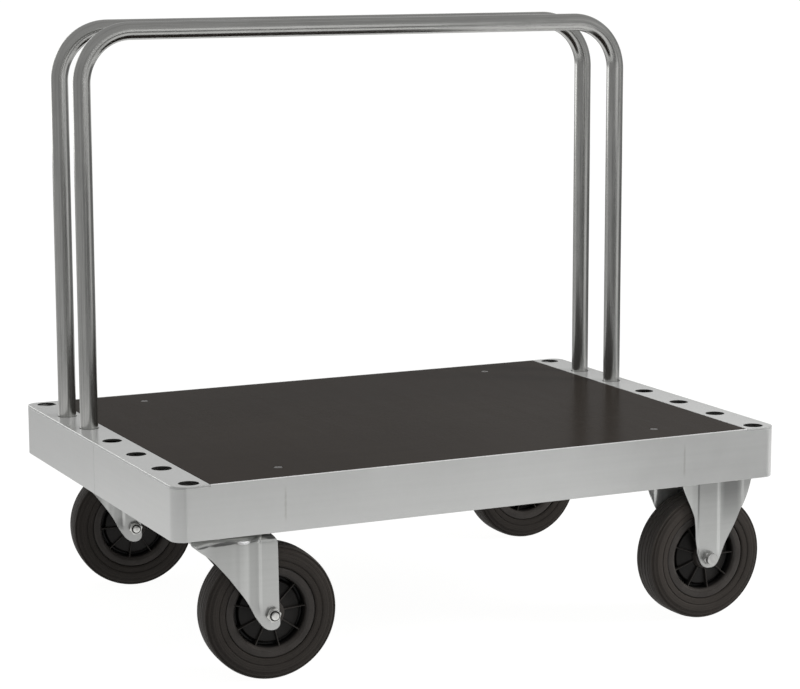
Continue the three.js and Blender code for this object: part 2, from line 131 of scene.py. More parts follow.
# ------------------------------------------------------------------- materials
def zinc_sheet(name, dark, light, metallic, r0, r1, welds=False, bands=(), painted_light_patches=(), painted_edge_highlight=None):
    """Satin zinc on rolled sheet: faint rolling lines, cloudy plating, fine grain. bands are stripes of painted light
    and shade along the pressed relief, as (place along x, half-width, gain, lower end, upper end); the patches are
    spots of painted highlight and painted shade, as (x, z, half-width, half-height, slope, gain); the edge highlight
    argument gives the heights between which an upper edge is painted bright as a painted highlight, all in metres."""
    m, t, bsdf = new_material(name)
    co = nd(t, "ShaderNodeTexCoord").outputs["Object"]
    cloud = noise(t, co, 7.0, 4.0, 0.6)
    grain = noise(t, co, 900.0, 3.0, 0.6)
    lines = noise(t, stretch(t, co, (2.0, 2.0, 170.0)), 1.0, 2.0, 0.5)
    spots = noise(t, co, 120.0, 4.0, 0.7)
    f = math_node(t, "MULTIPLY", cloud, 0.58)
    f = math_node(t, "MULTIPLY_ADD", grain, 0.05, f)
    f = math_node(t, "MULTIPLY_ADD", lines, 0.22, f)
    f = math_node(t, "MULTIPLY_ADD", spots, 0.15, f)
    f = remap(t, f, 0.30, 0.70)
    colour = blend_rgb(t, f, dark, light)
    if welds:
        # heat marks where the crossmembers are welded inside the long walls
        xyz = nd(t, "ShaderNodeSeparateXYZ", {0: co})
        off = math_node(t, "ABSOLUTE", math_node(t, "SUBTRACT", math_node(t, "ABSOLUTE", xyz.outputs[0]), 0.332))
        wob = math_node(t, "MULTIPLY_ADD", noise(t, co, 160.0, 2.0), 0.003, -0.0015)
        line = remap(t, math_node(t, "ADD", off, wob), 0.0003, 0.0026, 1.0, 0.0, True)
        tall = math_node(t, "MULTIPLY", remap(t, xyz.outputs[2], 0.236, 0.252, 0, 1, True),
                         remap(t, xyz.outputs[2], 0.276, 0.296, 1, 0, True))
        long_wall = remap(t, math_node(t, "ABSOLUTE", xyz.outputs[1]), 0.340, 0.345)
        mark = math_node(t, "MULTIPLY", math_node(t, "MULTIPLY", line, tall), long_wall)
        mark = math_node(t, "MULTIPLY", mark, 0.42)
        colour = blend_rgb(t, mark, colour, (0.36, 0.355, 0.33))
    # painted highlight: a near-white line painted along an upper edge, standing in for the light it catches
    if painted_edge_highlight:
        z = nd(t, "ShaderNodeSeparateXYZ", {0: co}).outputs[2]
        edge = math_node(t, "MULTIPLY", remap(t, z, painted_edge_highlight[0], painted_edge_highlight[1]), remap(t, z, painted_edge_highlight[2], painted_edge_highlight[3], 1.0, 0.0))
        edge = math_node(t, "MULTIPLY", edge, remap(t, spots, 0.3, 0.6, 0.70, 1.0))
        colour = blend_rgb(t, edge, colour, (0.96, 0.96, 0.95))
    # painted light and shade: the bands and patches brighten and darken the sheet where its relief would catch light or
    # lie in shade
    if bands or painted_light_patches:
        xyz = nd(t, "ShaderNodeSeparateXYZ", {0: co})
        wob = math_node(t, "MULTIPLY_ADD", noise(t, co, 90.0, 3.0), 0.0024, -0.0012)
        tone = 1.0
        for at, half, gain, low_z, high_z in bands:
            off = math_node(t, "ABSOLUTE", math_node(t, "SUBTRACT", xyz.outputs[0], at))
            here = math_node(t, "MULTIPLY", remap(t, off, half * 0.45, half, 1.0, 0.0, True),
                             remap(t, xyz.outputs[2], low_z, high_z, 0.0, 1.0, True))
            tone = math_node(t, "MULTIPLY_ADD", here, gain, tone)
        for px, pz, rx, rz, slope, gain in painted_light_patches:
            dx = math_node(t, "SUBTRACT", xyz.outputs[0], px)
            dz = math_node(t, "ADD", math_node(t, "SUBTRACT", math_node(t, "SUBTRACT", xyz.outputs[2], pz), wob),
                           math_node(t, "MULTIPLY", dx, -slope))
            ex = math_node(t, "POWER", math_node(t, "ABSOLUTE", math_node(t, "DIVIDE", dx, rx)), 2.0)
            ez = math_node(t, "POWER", math_node(t, "ABSOLUTE", math_node(t, "DIVIDE", dz, rz)), 2.0)
            tone = math_node(t, "MULTIPLY_ADD", remap(t, math_node(t, "ADD", ex, ez), 0.35, 1.2, 1.0, 0.0, True), gain, tone)
        shade = nd(t, "ShaderNodeCombineColor", {0: tone, 1: tone, 2: tone}).outputs[0]
        colour = blend_rgb(t, 1.0, colour, shade, "MULTIPLY")
    t.links.new(colour, bsdf.inputs["Base Color"])
    wear = math_node(t, "MULTIPLY_ADD", spots, 0.2, math_node(t, "MULTIPLY_ADD", lines, 0.1, math_node(t, "MULTIPLY", cloud, 0.7)))
    t.links.new(remap(t, wear, 0.35, 0.65, r0, r1), bsdf.inputs["Roughness"])
    bsdf.inputs["Metallic"].default_value = metallic
    bump(t, bsdf, math_node(t, "MULTIPLY_ADD", lines, 0.08, grain), 0.008, 0.0002)
    return m


def zinc_tube(name):
    """Drawn tube: lengthwise streaks from the uv map (around, along), in metres."""
    m, t, bsdf = new_material(name)
    uv = nd(t, "ShaderNodeTexCoord").outputs["UV"]
    fine = noise(t, stretch(t, uv, (2200.0, 7.0, 1.0)), 1.0, 3.0, 0.6, "2D")
    wide = noise(t, stretch(t, uv, (420.0, 2.2, 1.0)), 1.0, 3.0, 0.6, "2D")
    cloud = noise(t, stretch(t, uv, (60.0, 14.0, 1.0)), 1.0, 4.0, 0.6, "2D")
    f = math_node(t, "MULTIPLY", fine, 0.4)
    f = math_node(t, "MULTIPLY_ADD", wide, 0.4, f)
    f = math_node(t, "MULTIPLY_ADD", cloud, 0.2, f)
    f = remap(t, f, 0.36, 0.64)
    t.links.new(blend_rgb(t, f, (0.33, 0.33, 0.32), (0.50, 0.50, 0.485)), bsdf.inputs["Base Color"])
    t.links.new(remap(t, math_node(t, "MULTIPLY_ADD", wide, 0.6, math_node(t, "MULTIPLY", fine, 0.4)), 0.35, 0.65, 0.15, 0.27),
                bsdf.inputs["Roughness"])
    bsdf.inputs["Metallic"].default_value = 1.0
    bump(t, bsdf, fine, 0.10, 0.00012)
    return m


def fastener_zinc(name, dark, light, r0, r1):
    m, t, bsdf = new_material(name)
    co = nd(t, "ShaderNodeTexCoord").outputs["Object"]
    cloud = noise(t, co, 160.0, 4.0, 0.6)
    grain = noise(t, co, 1500.0, 3.0, 0.6)
    f = remap(t, math_node(t, "MULTIPLY_ADD", grain, 0.35, math_node(t, "MULTIPLY", cloud, 0.65)), 0.35, 0.65)
    t.links.new(blend_rgb(t, f, dark, light), bsdf.inputs["Base Color"])
    t.links.new(remap(t, cloud, 0.3, 0.7, r0, r1), bsdf.inputs["Roughness"])
    bsdf.inputs["Metallic"].default_value = 1.0
    bump(t, bsdf, grain, 0.06, 0.0001)
    return m


def deck_film(name):
    """Film-faced board: brown film with a fine mottle, faint grain lines and rubbed traces."""
    m, t, bsdf = new_material(name)
    co = nd(t, "ShaderNodeTexCoord").outputs["Object"]
    mottle = noise(t, co, 700.0, 3.0, 0.65)
    cloud = noise(t, co, 4.0, 4.0, 0.55)
    grain = noise(t, stretch(t, co, (3.0, 150.0, 60.0)), 1.0, 4.0, 0.6)
    rub = noise(t, stretch(t, co, (14.0, 1.6, 1.0)), 3.0, 6.0, 0.7)
    f = math_node(t, "MULTIPLY", mottle, 0.40)
    f = math_node(t, "MULTIPLY_ADD", cloud, 0.25, f)
    f = math_node(t, "MULTIPLY_ADD", grain, 0.20, f)
    f = math_node(t, "MULTIPLY_ADD", rub, 0.15, f)
    f = remap(t, f, 0.36, 0.64)
    t.links.new(blend_rgb(t, f, (0.0212, 0.0170, 0.0137), (0.0300, 0.0244, 0.0200)), bsdf.inputs["Base Color"])
    t.links.new(remap(t, math_node(t, "MULTIPLY_ADD", rub, 0.6, math_node(t, "MULTIPLY", mottle, 0.4)), 0.3, 0.7, 0.19, 0.265),
                bsdf.inputs["Roughness"])
    bsdf.inputs["Specular IOR Level"].default_value = 0.0045
    bump(t, bsdf, math_node(t, "MULTIPLY_ADD", grain, 0.5, mottle), 0.10, 0.0002)
    return m


def tyre_rubber(name):
    """Moulded rubber: fine turned rings round the axle, dusty mottle."""
    m, t, bsdf = new_material(name)
    co = nd(t, "ShaderNodeTexCoord").outputs["Object"]
    xyz = nd(t, "ShaderNodeSeparateXYZ", {0: co})
    r2 = math_node(t, "ADD", math_node(t, "POWER", xyz.outputs[0], 2.0), math_node(t, "POWER", xyz.outputs[2], 2.0))
    r = math_node(t, "SQRT", r2)
    rings = noise(t, math_node(t, "MULTIPLY", r, 620.0), 1.0, 3.0, 0.7, "1D")
    dust = noise(t, co, 22.0, 5.0, 0.65)
    grain = noise(t, co, 760.0, 3.0, 0.6)
    f = math_node(t, "MULTIPLY", rings, 0.38)
    f = math_node(t, "MULTIPLY_ADD", dust, 0.34, f)
    f = math_node(t, "MULTIPLY_ADD", grain, 0.28, f)
    # painted light: each tyre is painted lighter on one side, as light falling from that side would make it
    painted_side_light = nd(t, "ShaderNodeAttribute")
    painted_side_light.attribute_name = "painted_light_side"
    f = math_node(t, "MULTIPLY_ADD", painted_side_light.outputs["Fac"], 0.075, f)
    f = remap(t, f, 0.38, 0.63)
    rubber = blend_rgb(t, f, (0.0200, 0.0168, 0.0142), (0.0520, 0.0442, 0.0384))
    # the tread is painted lighter than the side: a painted highlight for the light it catches
    painted_tread_light = math_node(t, "MULTIPLY", remap(t, r, 0.0965, 0.0990, 0.0, 1.0, True), remap(t, f, 0.1, 0.9, 0.35, 0.85))
    t.links.new(blend_rgb(t, painted_tread_light, rubber, (0.088, 0.080, 0.073)), bsdf.inputs["Base Color"])
    t.links.new(remap(t, dust, 0.3, 0.7, 0.58, 0.78), bsdf.inputs["Roughness"])
    bsdf.inputs["Specular IOR Level"].default_value = 0.22
    n = bump(t, bsdf, rings, 0.40, 0.0005)
    bump(t, bsdf, grain, 0.12, 0.0002, n)
    return m


def rim_plastic(name):
    m, t, bsdf = new_material(name)
    co = nd(t, "ShaderNodeTexCoord").outputs["Object"]
    grain = noise(t, co, 1300.0, 3.0, 0.6)
    cloud = noise(t, co, 35.0, 4.0, 0.6)
    f = remap(t, math_node(t, "MULTIPLY_ADD", grain, 0.5, math_node(t, "MULTIPLY", cloud, 0.5)), 0.35, 0.65)
    depth = math_node(t, "ABSOLUTE", nd(t, "ShaderNodeSeparateXYZ", {0: co}).outputs[1])
    # the pockets are painted blacker than the web, and the web darker than the outer faces: painted shade that deepens
    # into the wheel
    web_face = remap(t, depth, 0.0070, 0.0105, 0.0, 1.0, True)
    open_face = remap(t, depth, 0.0142, 0.0185, 0.0, 1.0, True)
    outer_face_colour = blend_rgb(t, f, (0.0450, 0.0402, 0.0368), (0.0775, 0.0698, 0.0640))
    web = blend_rgb(t, f, (0.0115, 0.0106, 0.0098), (0.0205, 0.0190, 0.0176))
    pocket_painted_shade = blend_rgb(t, f, (0.0026, 0.0025, 0.0024), (0.0048, 0.0046, 0.0043))
    xyz = nd(t, "ShaderNodeSeparateXYZ", {0: co})
    r = math_node(t, "SQRT", math_node(t, "ADD", math_node(t, "POWER", xyz.outputs[0], 2.0), math_node(t, "POWER", xyz.outputs[2], 2.0)))
    # painted highlight: a lighter line along the outer edge of the ring
    outer_face_colour = blend_rgb(t, math_node(t, "MULTIPLY", remap(t, r, 0.0646, 0.0660), 0.6), outer_face_colour, (0.105, 0.098, 0.092))
    t.links.new(blend_rgb(t, open_face, blend_rgb(t, web_face, pocket_painted_shade, web), outer_face_colour), bsdf.inputs["Base Color"])
    # the lip inside the outer ring is polished by the mould
    lip = math_node(t, "MULTIPLY", remap(t, r, 0.0524, 0.0532, 0.0, 1.0, True), remap(t, r, 0.0580, 0.0592, 1.0, 0.0, True))
    lip = math_node(t, "MULTIPLY", lip, open_face)
    rough = remap(t, cloud, 0.3, 0.7, 0.34, 0.48)
    t.links.new(math_node(t, "MULTIPLY_ADD", lip, -0.27, rough), bsdf.inputs["Roughness"])
    bsdf.inputs["Specular IOR Level"].default_value = 0.14
    bump(t, bsdf, grain, 0.08, 0.00015)
    return m


def pale_floor(name):
    m, t, bsdf = new_material(name)
    co = nd(t, "ShaderNodeTexCoord").outputs["Object"]
    f = noise(t, co, 3.0, 3.0, 0.5)
    t.links.new(blend_rgb(t, f, (0.10, 0.10, 0.10), (0.12, 0.12, 0.12)), bsdf.inputs["Base Color"])
    bsdf.inputs["Roughness"].default_value = 0.9
    bsdf.inputs["Specular IOR Level"].default_value = 0.0
    bsdf.inputs["Emission Color"].default_value = (1.0, 1.0, 0.995, 1.0)
    bsdf.inputs["Emission Strength"].default_value = 0.97
    out = next(n for n in t.nodes if n.bl_idname == "ShaderNodeOutputMaterial")
    back = nd(t, "ShaderNodeNewGeometry").outputs["Backfacing"]
    clear = nd(t, "ShaderNodeBsdfTransparent")
    mix = nd(t, "ShaderNodeMixShader", {0: back, 1: bsdf.outputs[0], 2: clear.outputs[0]})
    t.links.new(mix.outputs[0], out.inputs[0])
    return m


# the frame's top outer edge carries a painted highlight
M_FRAME = zinc_sheet("zinc_frame", (0.575, 0.58, 0.57), (0.645, 0.65, 0.64), 0.55, 0.285, 0.345, welds=True,
                     painted_edge_highlight=(0.3039, 0.3043, 0.3060, 0.3070))
M_SHEET = zinc_sheet("zinc_sheet", (0.545, 0.55, 0.54), (0.615, 0.62, 0.61), 0.50, 0.19, 0.262)
M_FORK = zinc_sheet("zinc_pressing", (0.43, 0.435, 0.425), (0.51, 0.515, 0.505), 0.75, 0.30, 0.42)
# painted light and shade: the bands stand in for light and shade across the rib, valley and edge strip; the patches
# paint a glint and a bright line as painted highlights, and dark reflections on the shoulder as painted shade
M_SWIVEL = zinc_sheet("zinc_swivel_painted_light", (0.43, 0.435, 0.425), (0.51, 0.515, 0.505), 0.75, 0.285, 0.38,
                      bands=[(0.0100, 0.0085, 0.12, 0.100, 0.124), (0.0245, 0.0090, -0.18, 0.100, 0.124),
                             (0.0343, 0.0030, 0.22, 0.100, 0.124), (-0.022, 0.020, -0.05, 0.140, 0.175)],
                      painted_light_patches=[(-0.019, 0.2092, 0.023, 0.0030, 0.05, -0.66), (0.0290, 0.2120, 0.011, 0.0036, 0.22, -0.45),
                               (0.0490, 0.2155, 0.0130, 0.0048, 0.0, -0.66), (0.0100, 0.2094, 0.0095, 0.0034, 0.0, 1.35),
                               (0.0345, 0.2125, 0.0042, 0.0030, 1.3, 0.95), (-0.0500, 0.2070, 0.0100, 0.0015, 0.10, -0.70)])
# painted light and shade: the bands stand in for the light and shade of the ridges, flanks and turned-out edge; the
# last two paint the far leg's edge darker and its face lighter where it lies in shade
M_FIXED = zinc_sheet("zinc_fixed_painted_light", (0.44, 0.445, 0.435), (0.52, 0.525, 0.515), 0.75, 0.285, 0.38,
                     bands=[(-0.0194, 0.0026, -0.48, 0.120, 0.185), (-0.0400, 0.0130, 0.14, 0.110, 0.160),
                            (0.0182, 0.0036, 0.26, 0.096, 0.116), (0.0410, 0.0230, -0.36, 0.135, 0.200), (0.0715, 0.0110, 0.14, 0.150, 0.190),
                            (-0.0755, 0.0060, -0.60, 0.150, 0.170), (-0.0620, 0.0120, 0.45, 0.150, 0.170)])
# painted shade: the walls of the socket holes are painted near black, standing in for the shade inside them
M_BORE_PAINTED_SHADE = zinc_sheet("socket_bore_painted_shade", (0.012, 0.012, 0.011), (0.024, 0.023, 0.022), 0.2, 0.55, 0.7)
M_TUBE = zinc_tube("zinc_tube")
M_BOLT = fastener_zinc("fastener_zinc", (0.50, 0.50, 0.48), (0.70, 0.70, 0.68), 0.285, 0.38)
# painted shade: the nut's hexagon is painted darker than the bolt's zinc, standing in for shade on its sides
M_NUT = fastener_zinc("fastener_nut", (0.20, 0.20, 0.19), (0.34, 0.34, 0.33), 0.18, 0.265)
M_DULL = fastener_zinc("fastener_dull", (0.40, 0.40, 0.39), (0.54, 0.54, 0.53), 0.34, 0.48)
M_SCREW = fastener_zinc("fastener_screw", (0.20, 0.195, 0.19), (0.34, 0.335, 0.33), 0.36, 0.50)
M_DECK = deck_film("deck_film")
M_TYRE = tyre_rubber("tyre_rubber")
M_RIM = rim_plastic("rim_plastic")


# ---------------------------------------------------------------- mesh helpers
def smooth01(a, b, x):
    t = np.clip((np.asarray(x, float) - a) / (b - a), 0.0, 1.0)
    return t * t * (3 - 2 * t)


def tidy(me, angle=38.0):
    bm = bmesh.new()
    bm.from_mesh(me)
    bmesh.ops.remove_doubles(bm, verts=bm.verts, dist=2e-6)
    bmesh.ops.dissolve_degenerate(bm, edges=bm.edges, dist=1e-6)
    bmesh.ops.recalc_face_normals(bm, faces=bm.faces)
    bm.to_mesh(me)
    bm.free()
    me.shade_smooth()
    me.set_sharp_from_angle(angle=math.radians(angle))
    me.update()
    return me


def mesh_of(name, verts, faces, angle=38.0):
    """A mesh from millimetres."""
    me = bpy.data.meshes.new(name)
    me.from_pydata([(float(x) * MM, float(y) * MM, float(z) * MM) for x, y, z in verts], [], faces)
    return tidy(me, angle)


def put(name, me, mat, body, stands_for=(), place=None, weighted=True):
    ob = bpy.data.objects.new(name, me)
    scene.collection.objects.link(ob)
    if place is not None:
        ob.matrix_world = place
    if not me.materials:
        me.materials.append(mat)
    if weighted:
        w = ob.modifiers.new("even_normals", "WEIGHTED_NORMAL")
        w.mode = "FACE_AREA"
        w.weight = 60
        w.keep_sharp = True
    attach(ob, body)
    if stands_for:
        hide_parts(*stands_for)
    return ob


def merge_meshes(name, parts, angle=38.0):
    """One mesh from several (verts, faces) in millimetres."""
    verts, faces = [], []
    for v, f in parts:
        n = len(verts)
        verts.extend(v)
        faces.extend([[i + n for i in q] for q in f])
    return mesh_of(name, verts, faces, angle)


def loft(loops, closed=False, caps=True):
    """Quads between loops that all have the same number of points; closed joins the last to the first."""
    n = len(loops[0])
    verts = [p for loop in loops for p in loop]
    faces = []
    count = len(loops)
    for k in range(count if closed else count - 1):
        a, b = k * n, ((k + 1) % count) * n
        for i in range(n):
            j = (i + 1) % n
            faces.append([a + i, a + j, b + j, b + i])
    if caps and not closed:
        faces.append(list(range(n))[::-1])
        faces.append([(count - 1) * n + i for i in range(n)])
    return verts, faces


def ring_y(r, y, n, cx=0.0, cz=0.0, phase=0.0):
    return [(cx + r * math.cos(2 * math.pi * i / n + phase), y, cz + r * math.sin(2 * math.pi * i / n + phase)) for i in range(n)]


def ring_z(r, z, n, cx=0.0, cy=0.0, phase=0.0):
    return [(cx + r * math.cos(2 * math.pi * i / n + phase), cy + r * math.sin(2 * math.pi * i / n + phase), z) for i in range(n)]


def lathe_y(profile, n, closed=True):
    return loft([ring_y(r, y, n) for r, y in profile], closed=closed)


def lathe_z(profile, n, closed=False, cx=0.0, cy=0.0):
    return loft([ring_z(max(r, 0.02), z, n, cx, cy) for r, z in profile], closed=closed)


def fill_plane(outer, holes, z, up=True):
    """Triangles that fill a flat outline with holes, all at height z."""
    bm = bmesh.new()
    edges = []
    index = {}
    count = 0
    for loop in [outer, *holes]:
        vs = []
        for p in loop:
            v = bm.verts.new((p[0], p[1], 0.0))
            index[v] = count
            count += 1
            vs.append(v)
        for i, v in enumerate(vs):
            edges.append(bm.edges.new((v, vs[(i + 1) % len(vs)])))
    bmesh.ops.triangle_fill(bm, use_beauty=True, use_dissolve=False, edges=edges)
    faces = []
    for f in bm.faces:
        q = [index[v] for v in f.verts]
        if (f.normal.z > 0) != up:
            q.reverse()
        faces.append(q)
    bm.free()
    verts = [(p[0], p[1], z) for loop in [outer, *holes] for p in loop]
    return verts, faces


def arc2(cx, cy, r, a0, a1, n):
    out = []
    for i in range(n + 1):
        a = math.radians(a0 + (a1 - a0) * i / n)
        out.append((cx + r * math.cos(a), cy + r * math.sin(a), math.cos(a), math.sin(a)))
    return out


# ------------------------------------------------------------- platform frame
def frame_half(side):
    """Bent sheet: a long wall, two corners and half of each end wall."""
    sunk = [(0.15, 0.9), (0.4, 0.36), (0.8, 0.08), (1.2, 0.0)]     # edge of the seam in the end wall: distance from the middle, depth
    path = [(-HX, -d, -1.0, 0.0, 302.0, k) for d, k in sunk]
    path += [(x, y, nx, ny, 302.0, 0.0) for x, y, nx, ny in arc2(-HX + CORNER_R, -HY + CORNER_R, CORNER_R, 180, 270, 18)]
    path += [(-445.2, -HY, 0.0, -1.0, 302.0, 0.0), (-445.2, -HY, 0.0, -1.0, DECK_Z, 0.0)]
    path += [(445.2, -HY, 0.0, -1.0, DECK_Z, 0.0), (445.2, -HY, 0.0, -1.0, 302.0, 0.0)]
    path += [(x, y, nx, ny, 302.0, 0.0) for x, y, nx, ny in arc2(HX - CORNER_R, -HY + CORNER_R, CORNER_R, 270, 360, 18)]
    path += [(HX, -d, 1.0, 0.0, 302.0, k) for d, k in reversed(sunk)]
    loops = []
    for x, y, nx, ny, top, sink in path:
        rt = 0.7
        rb = 0.7
        ring = []
        for k in range(4):               # outer lower edge
            a = math.radians(30 * k)
            ring.append((rb - rb * math.sin(a), SKIRT_Z + rb - rb * math.cos(a)))
        for k in range(4):               # outer upper edge
            a = math.radians(30 * k)
            ring.append((rt - rt * math.cos(a), top - rt + rt * math.sin(a)))
        for k in range(4):               # inner upper edge
            a = math.radians(30 * k)
            ring.append((SHEET_T - rt + rt * math.sin(a), top - rt + rt * math.cos(a)))
        for k in range(4):               # inner lower edge
            a = math.radians(30 * k)
            ring.append((SHEET_T - rb + rb * math.cos(a), SKIRT_Z + rb - rb * math.sin(a)))
        pts = [(x - nx * max(o, sink), y - ny * max(o, sink), z) for o, z in ring]
        if side > 0:
            pts = [(-px, -py, pz) for px, py, pz in pts]
        loops.append(pts)
    return loft(loops)


for side, name in ((-1, "front"), (1, "back")):
    put(f"frame_wall_{name}", mesh_of(f"frame_wall_{name}", *frame_half(side)), M_FRAME,
        "platform", [f"frame_half_{name}"])
    # folded ledge inside the long wall, under the edge of the board
    y0, y1 = -HY + SHEET_T, -HY + SHEET_T + 25.0
    r = 0.6
    prof = [(y0, 290.0), (y1 - r, 290.0), (y1 - 0.2, 290.2), (y1, 290.0 + r), (y1, 293.0 - r), (y1 - 0.2, 292.8), (y1 - r, 293.0), (y0, 293.0)]
    loops = [[(x, y, z) for y, z in prof] for x in (-440.0, 440.0)]
    v, f = loft(loops)
    if side > 0:
        v = [(-a, -b, c) for a, b, c in v]
    put(f"frame_ledge_{name}", mesh_of(f"frame_ledge_{name}", v, f), M_SHEET, "platform")


# ------------------------------------------------------------------ end strips
def end_strip(side):
    out = [(STRIP_IN, -HY, -0.5, -1.0)]
    out += [(x, y, nx, ny) for x, y, nx, ny in arc2(HX - CORNER_R, -HY + CORNER_R, CORNER_R, 270, 360, 18)]
    out += [(x, y, nx, ny) for x, y, nx, ny in arc2(HX - CORNER_R, HY - CORNER_R, CORNER_R, 0, 90, 18)]
    out += [(STRIP_IN, HY, -0.5, 1.0)]
    parts = []

    def inset(amount, z):
        return [(x - nx * amount, y - ny * amount, z) for x, y, nx, ny in out]

    r = 1.1
    loops = [inset(0.0, 302.0)]
    for k in range(4):
        a = math.radians(30 * k)
        loops.append(inset(r - r * math.cos(a), DECK_Z - r + r * math.sin(a)))
    parts.append(loft(loops, caps=False))
    tops, bottoms = [], []
    for i in range(7):
        cy = (i - 3) * SOCKET_PITCH
        rh = 0.7
        hole = [ring_z(SOCKET_R, 302.0, 56, SOCKET_X, cy)]
        for k in range(4):
            a = math.radians(30 * k)
            hole.append(ring_z(SOCKET_R + rh - rh * math.cos(a), DECK_Z - rh + rh * math.sin(a), 56, SOCKET_X, cy))
        parts.append(loft(hole, caps=False))
        tops.append(hole[-1])
        bottoms.append(hole[0])
    parts.append(fill_plane(loops[-1], tops, DECK_Z, True))
    parts.append(fill_plane(loops[0], bottoms, 302.0, False))
    if side < 0:
        parts = [([(-a, -b, c) for a, b, c in v], f) for v, f in parts]
    return parts


for side, name in ((-1, "left"), (1, "right")):
    me = merge_meshes(f"socket_strip_{name}", end_strip(side))
    me.materials.append(M_SHEET)
    me.materials.append(M_BORE_PAINTED_SHADE)
    # the walls of the holes take the painted shade
    for p in me.polygons:
        near = min(math.hypot(abs(p.center.x) - SOCKET_X * MM, p.center.y - (i - 3) * SOCKET_PITCH * MM) for i in range(7))
        if near < (SOCKET_R + 0.5) * MM and abs(p.normal.z) < 0.45:
            p.material_index = 1
    put(f"socket_strip_{name}", me, M_SHEET, "platform", [f"end_strip_{name}"])


# ----------------------------------------------------------- deck board, screws
SCREWS = {"fl": (-316.0, -285.0), "fr": (316.0, -285.0), "bl": (-316.0, 285.0), "br": (316.0, 285.0)}


def deck_board():
    ex, ey = STRIP_IN - 0.4, HY - SHEET_T - 0.5

    def rect(d, z):
        return [(-ex + d, -ey + d, z), (ex - d, -ey + d, z), (ex - d, ey - d, z), (-ex + d, ey - d, z)]

    loops = [rect(0.5, DECK_Z - 11.7), rect(0.0, DECK_Z - 11.2), rect(0.0, DECK_Z - 0.5), rect(0.15, DECK_Z - 0.15), rect(0.5, DECK_Z)]
    parts = [loft(loops, caps=False)]
    tops, bottoms = [], []
    for cx, cy in SCREWS.values():
        hole = [ring_z(2.95, DECK_Z - 11.7, 40, cx, cy), ring_z(2.95, 300.2, 40, cx, cy), ring_z(6.75, 304.2, 40, cx, cy),
                ring_z(6.75, 304.8, 40, cx, cy), ring_z(7.0, DECK_Z, 40, cx, cy)]
        parts.append(loft(hole, caps=False))
        tops.append(hole[-1])
        bottoms.append(hole[0])
    parts.append(fill_plane(loops[-1], tops, DECK_Z, True))
    parts.append(fill_plane(loops[0], bottoms, DECK_Z - 11.7, False))
    return parts


put("deck_panel", merge_meshes("deck_panel", deck_board()), M_DECK, "platform", ["deck_board"])


def deck_screw(cx, cy, turn):
    """Countersunk head with a cross recess, and its shank."""
    n = 64

    def cross(k, z):
        pts = []
        for i in range(n):
            a = 2 * math.pi * i / n
            r = (1.15 + 2.15 * abs(math.cos(2 * a)) ** 5) * k
            pts.append((cx + r * math.cos(a + turn), cy + r * math.sin(a + turn), z))
        return pts

    ring = lambda r, z: ring_z(r, z, n, cx, cy, turn)
    loops = [ring(0.9, 281.0), ring(2.1, 283.5), ring(2.5, 286.0), ring(2.5, 300.9), ring(6.1, 304.1), ring(6.38, 304.35),
             ring(6.3, 304.6), ring(5.9, 304.78), cross(1.0, 304.82), cross(0.92, 304.5), cross(0.55, 302.9)]
    return loft(loops)


for k, (tag, (cx, cy)) in enumerate(SCREWS.items()):
    put(f"screw_{tag}", mesh_of(f"screw_{tag}", *deck_screw(cx, cy, 0.4 + 0.7 * k), angle=30), M_SCREW,
        "platform", [f"deck_screw_{tag}"])


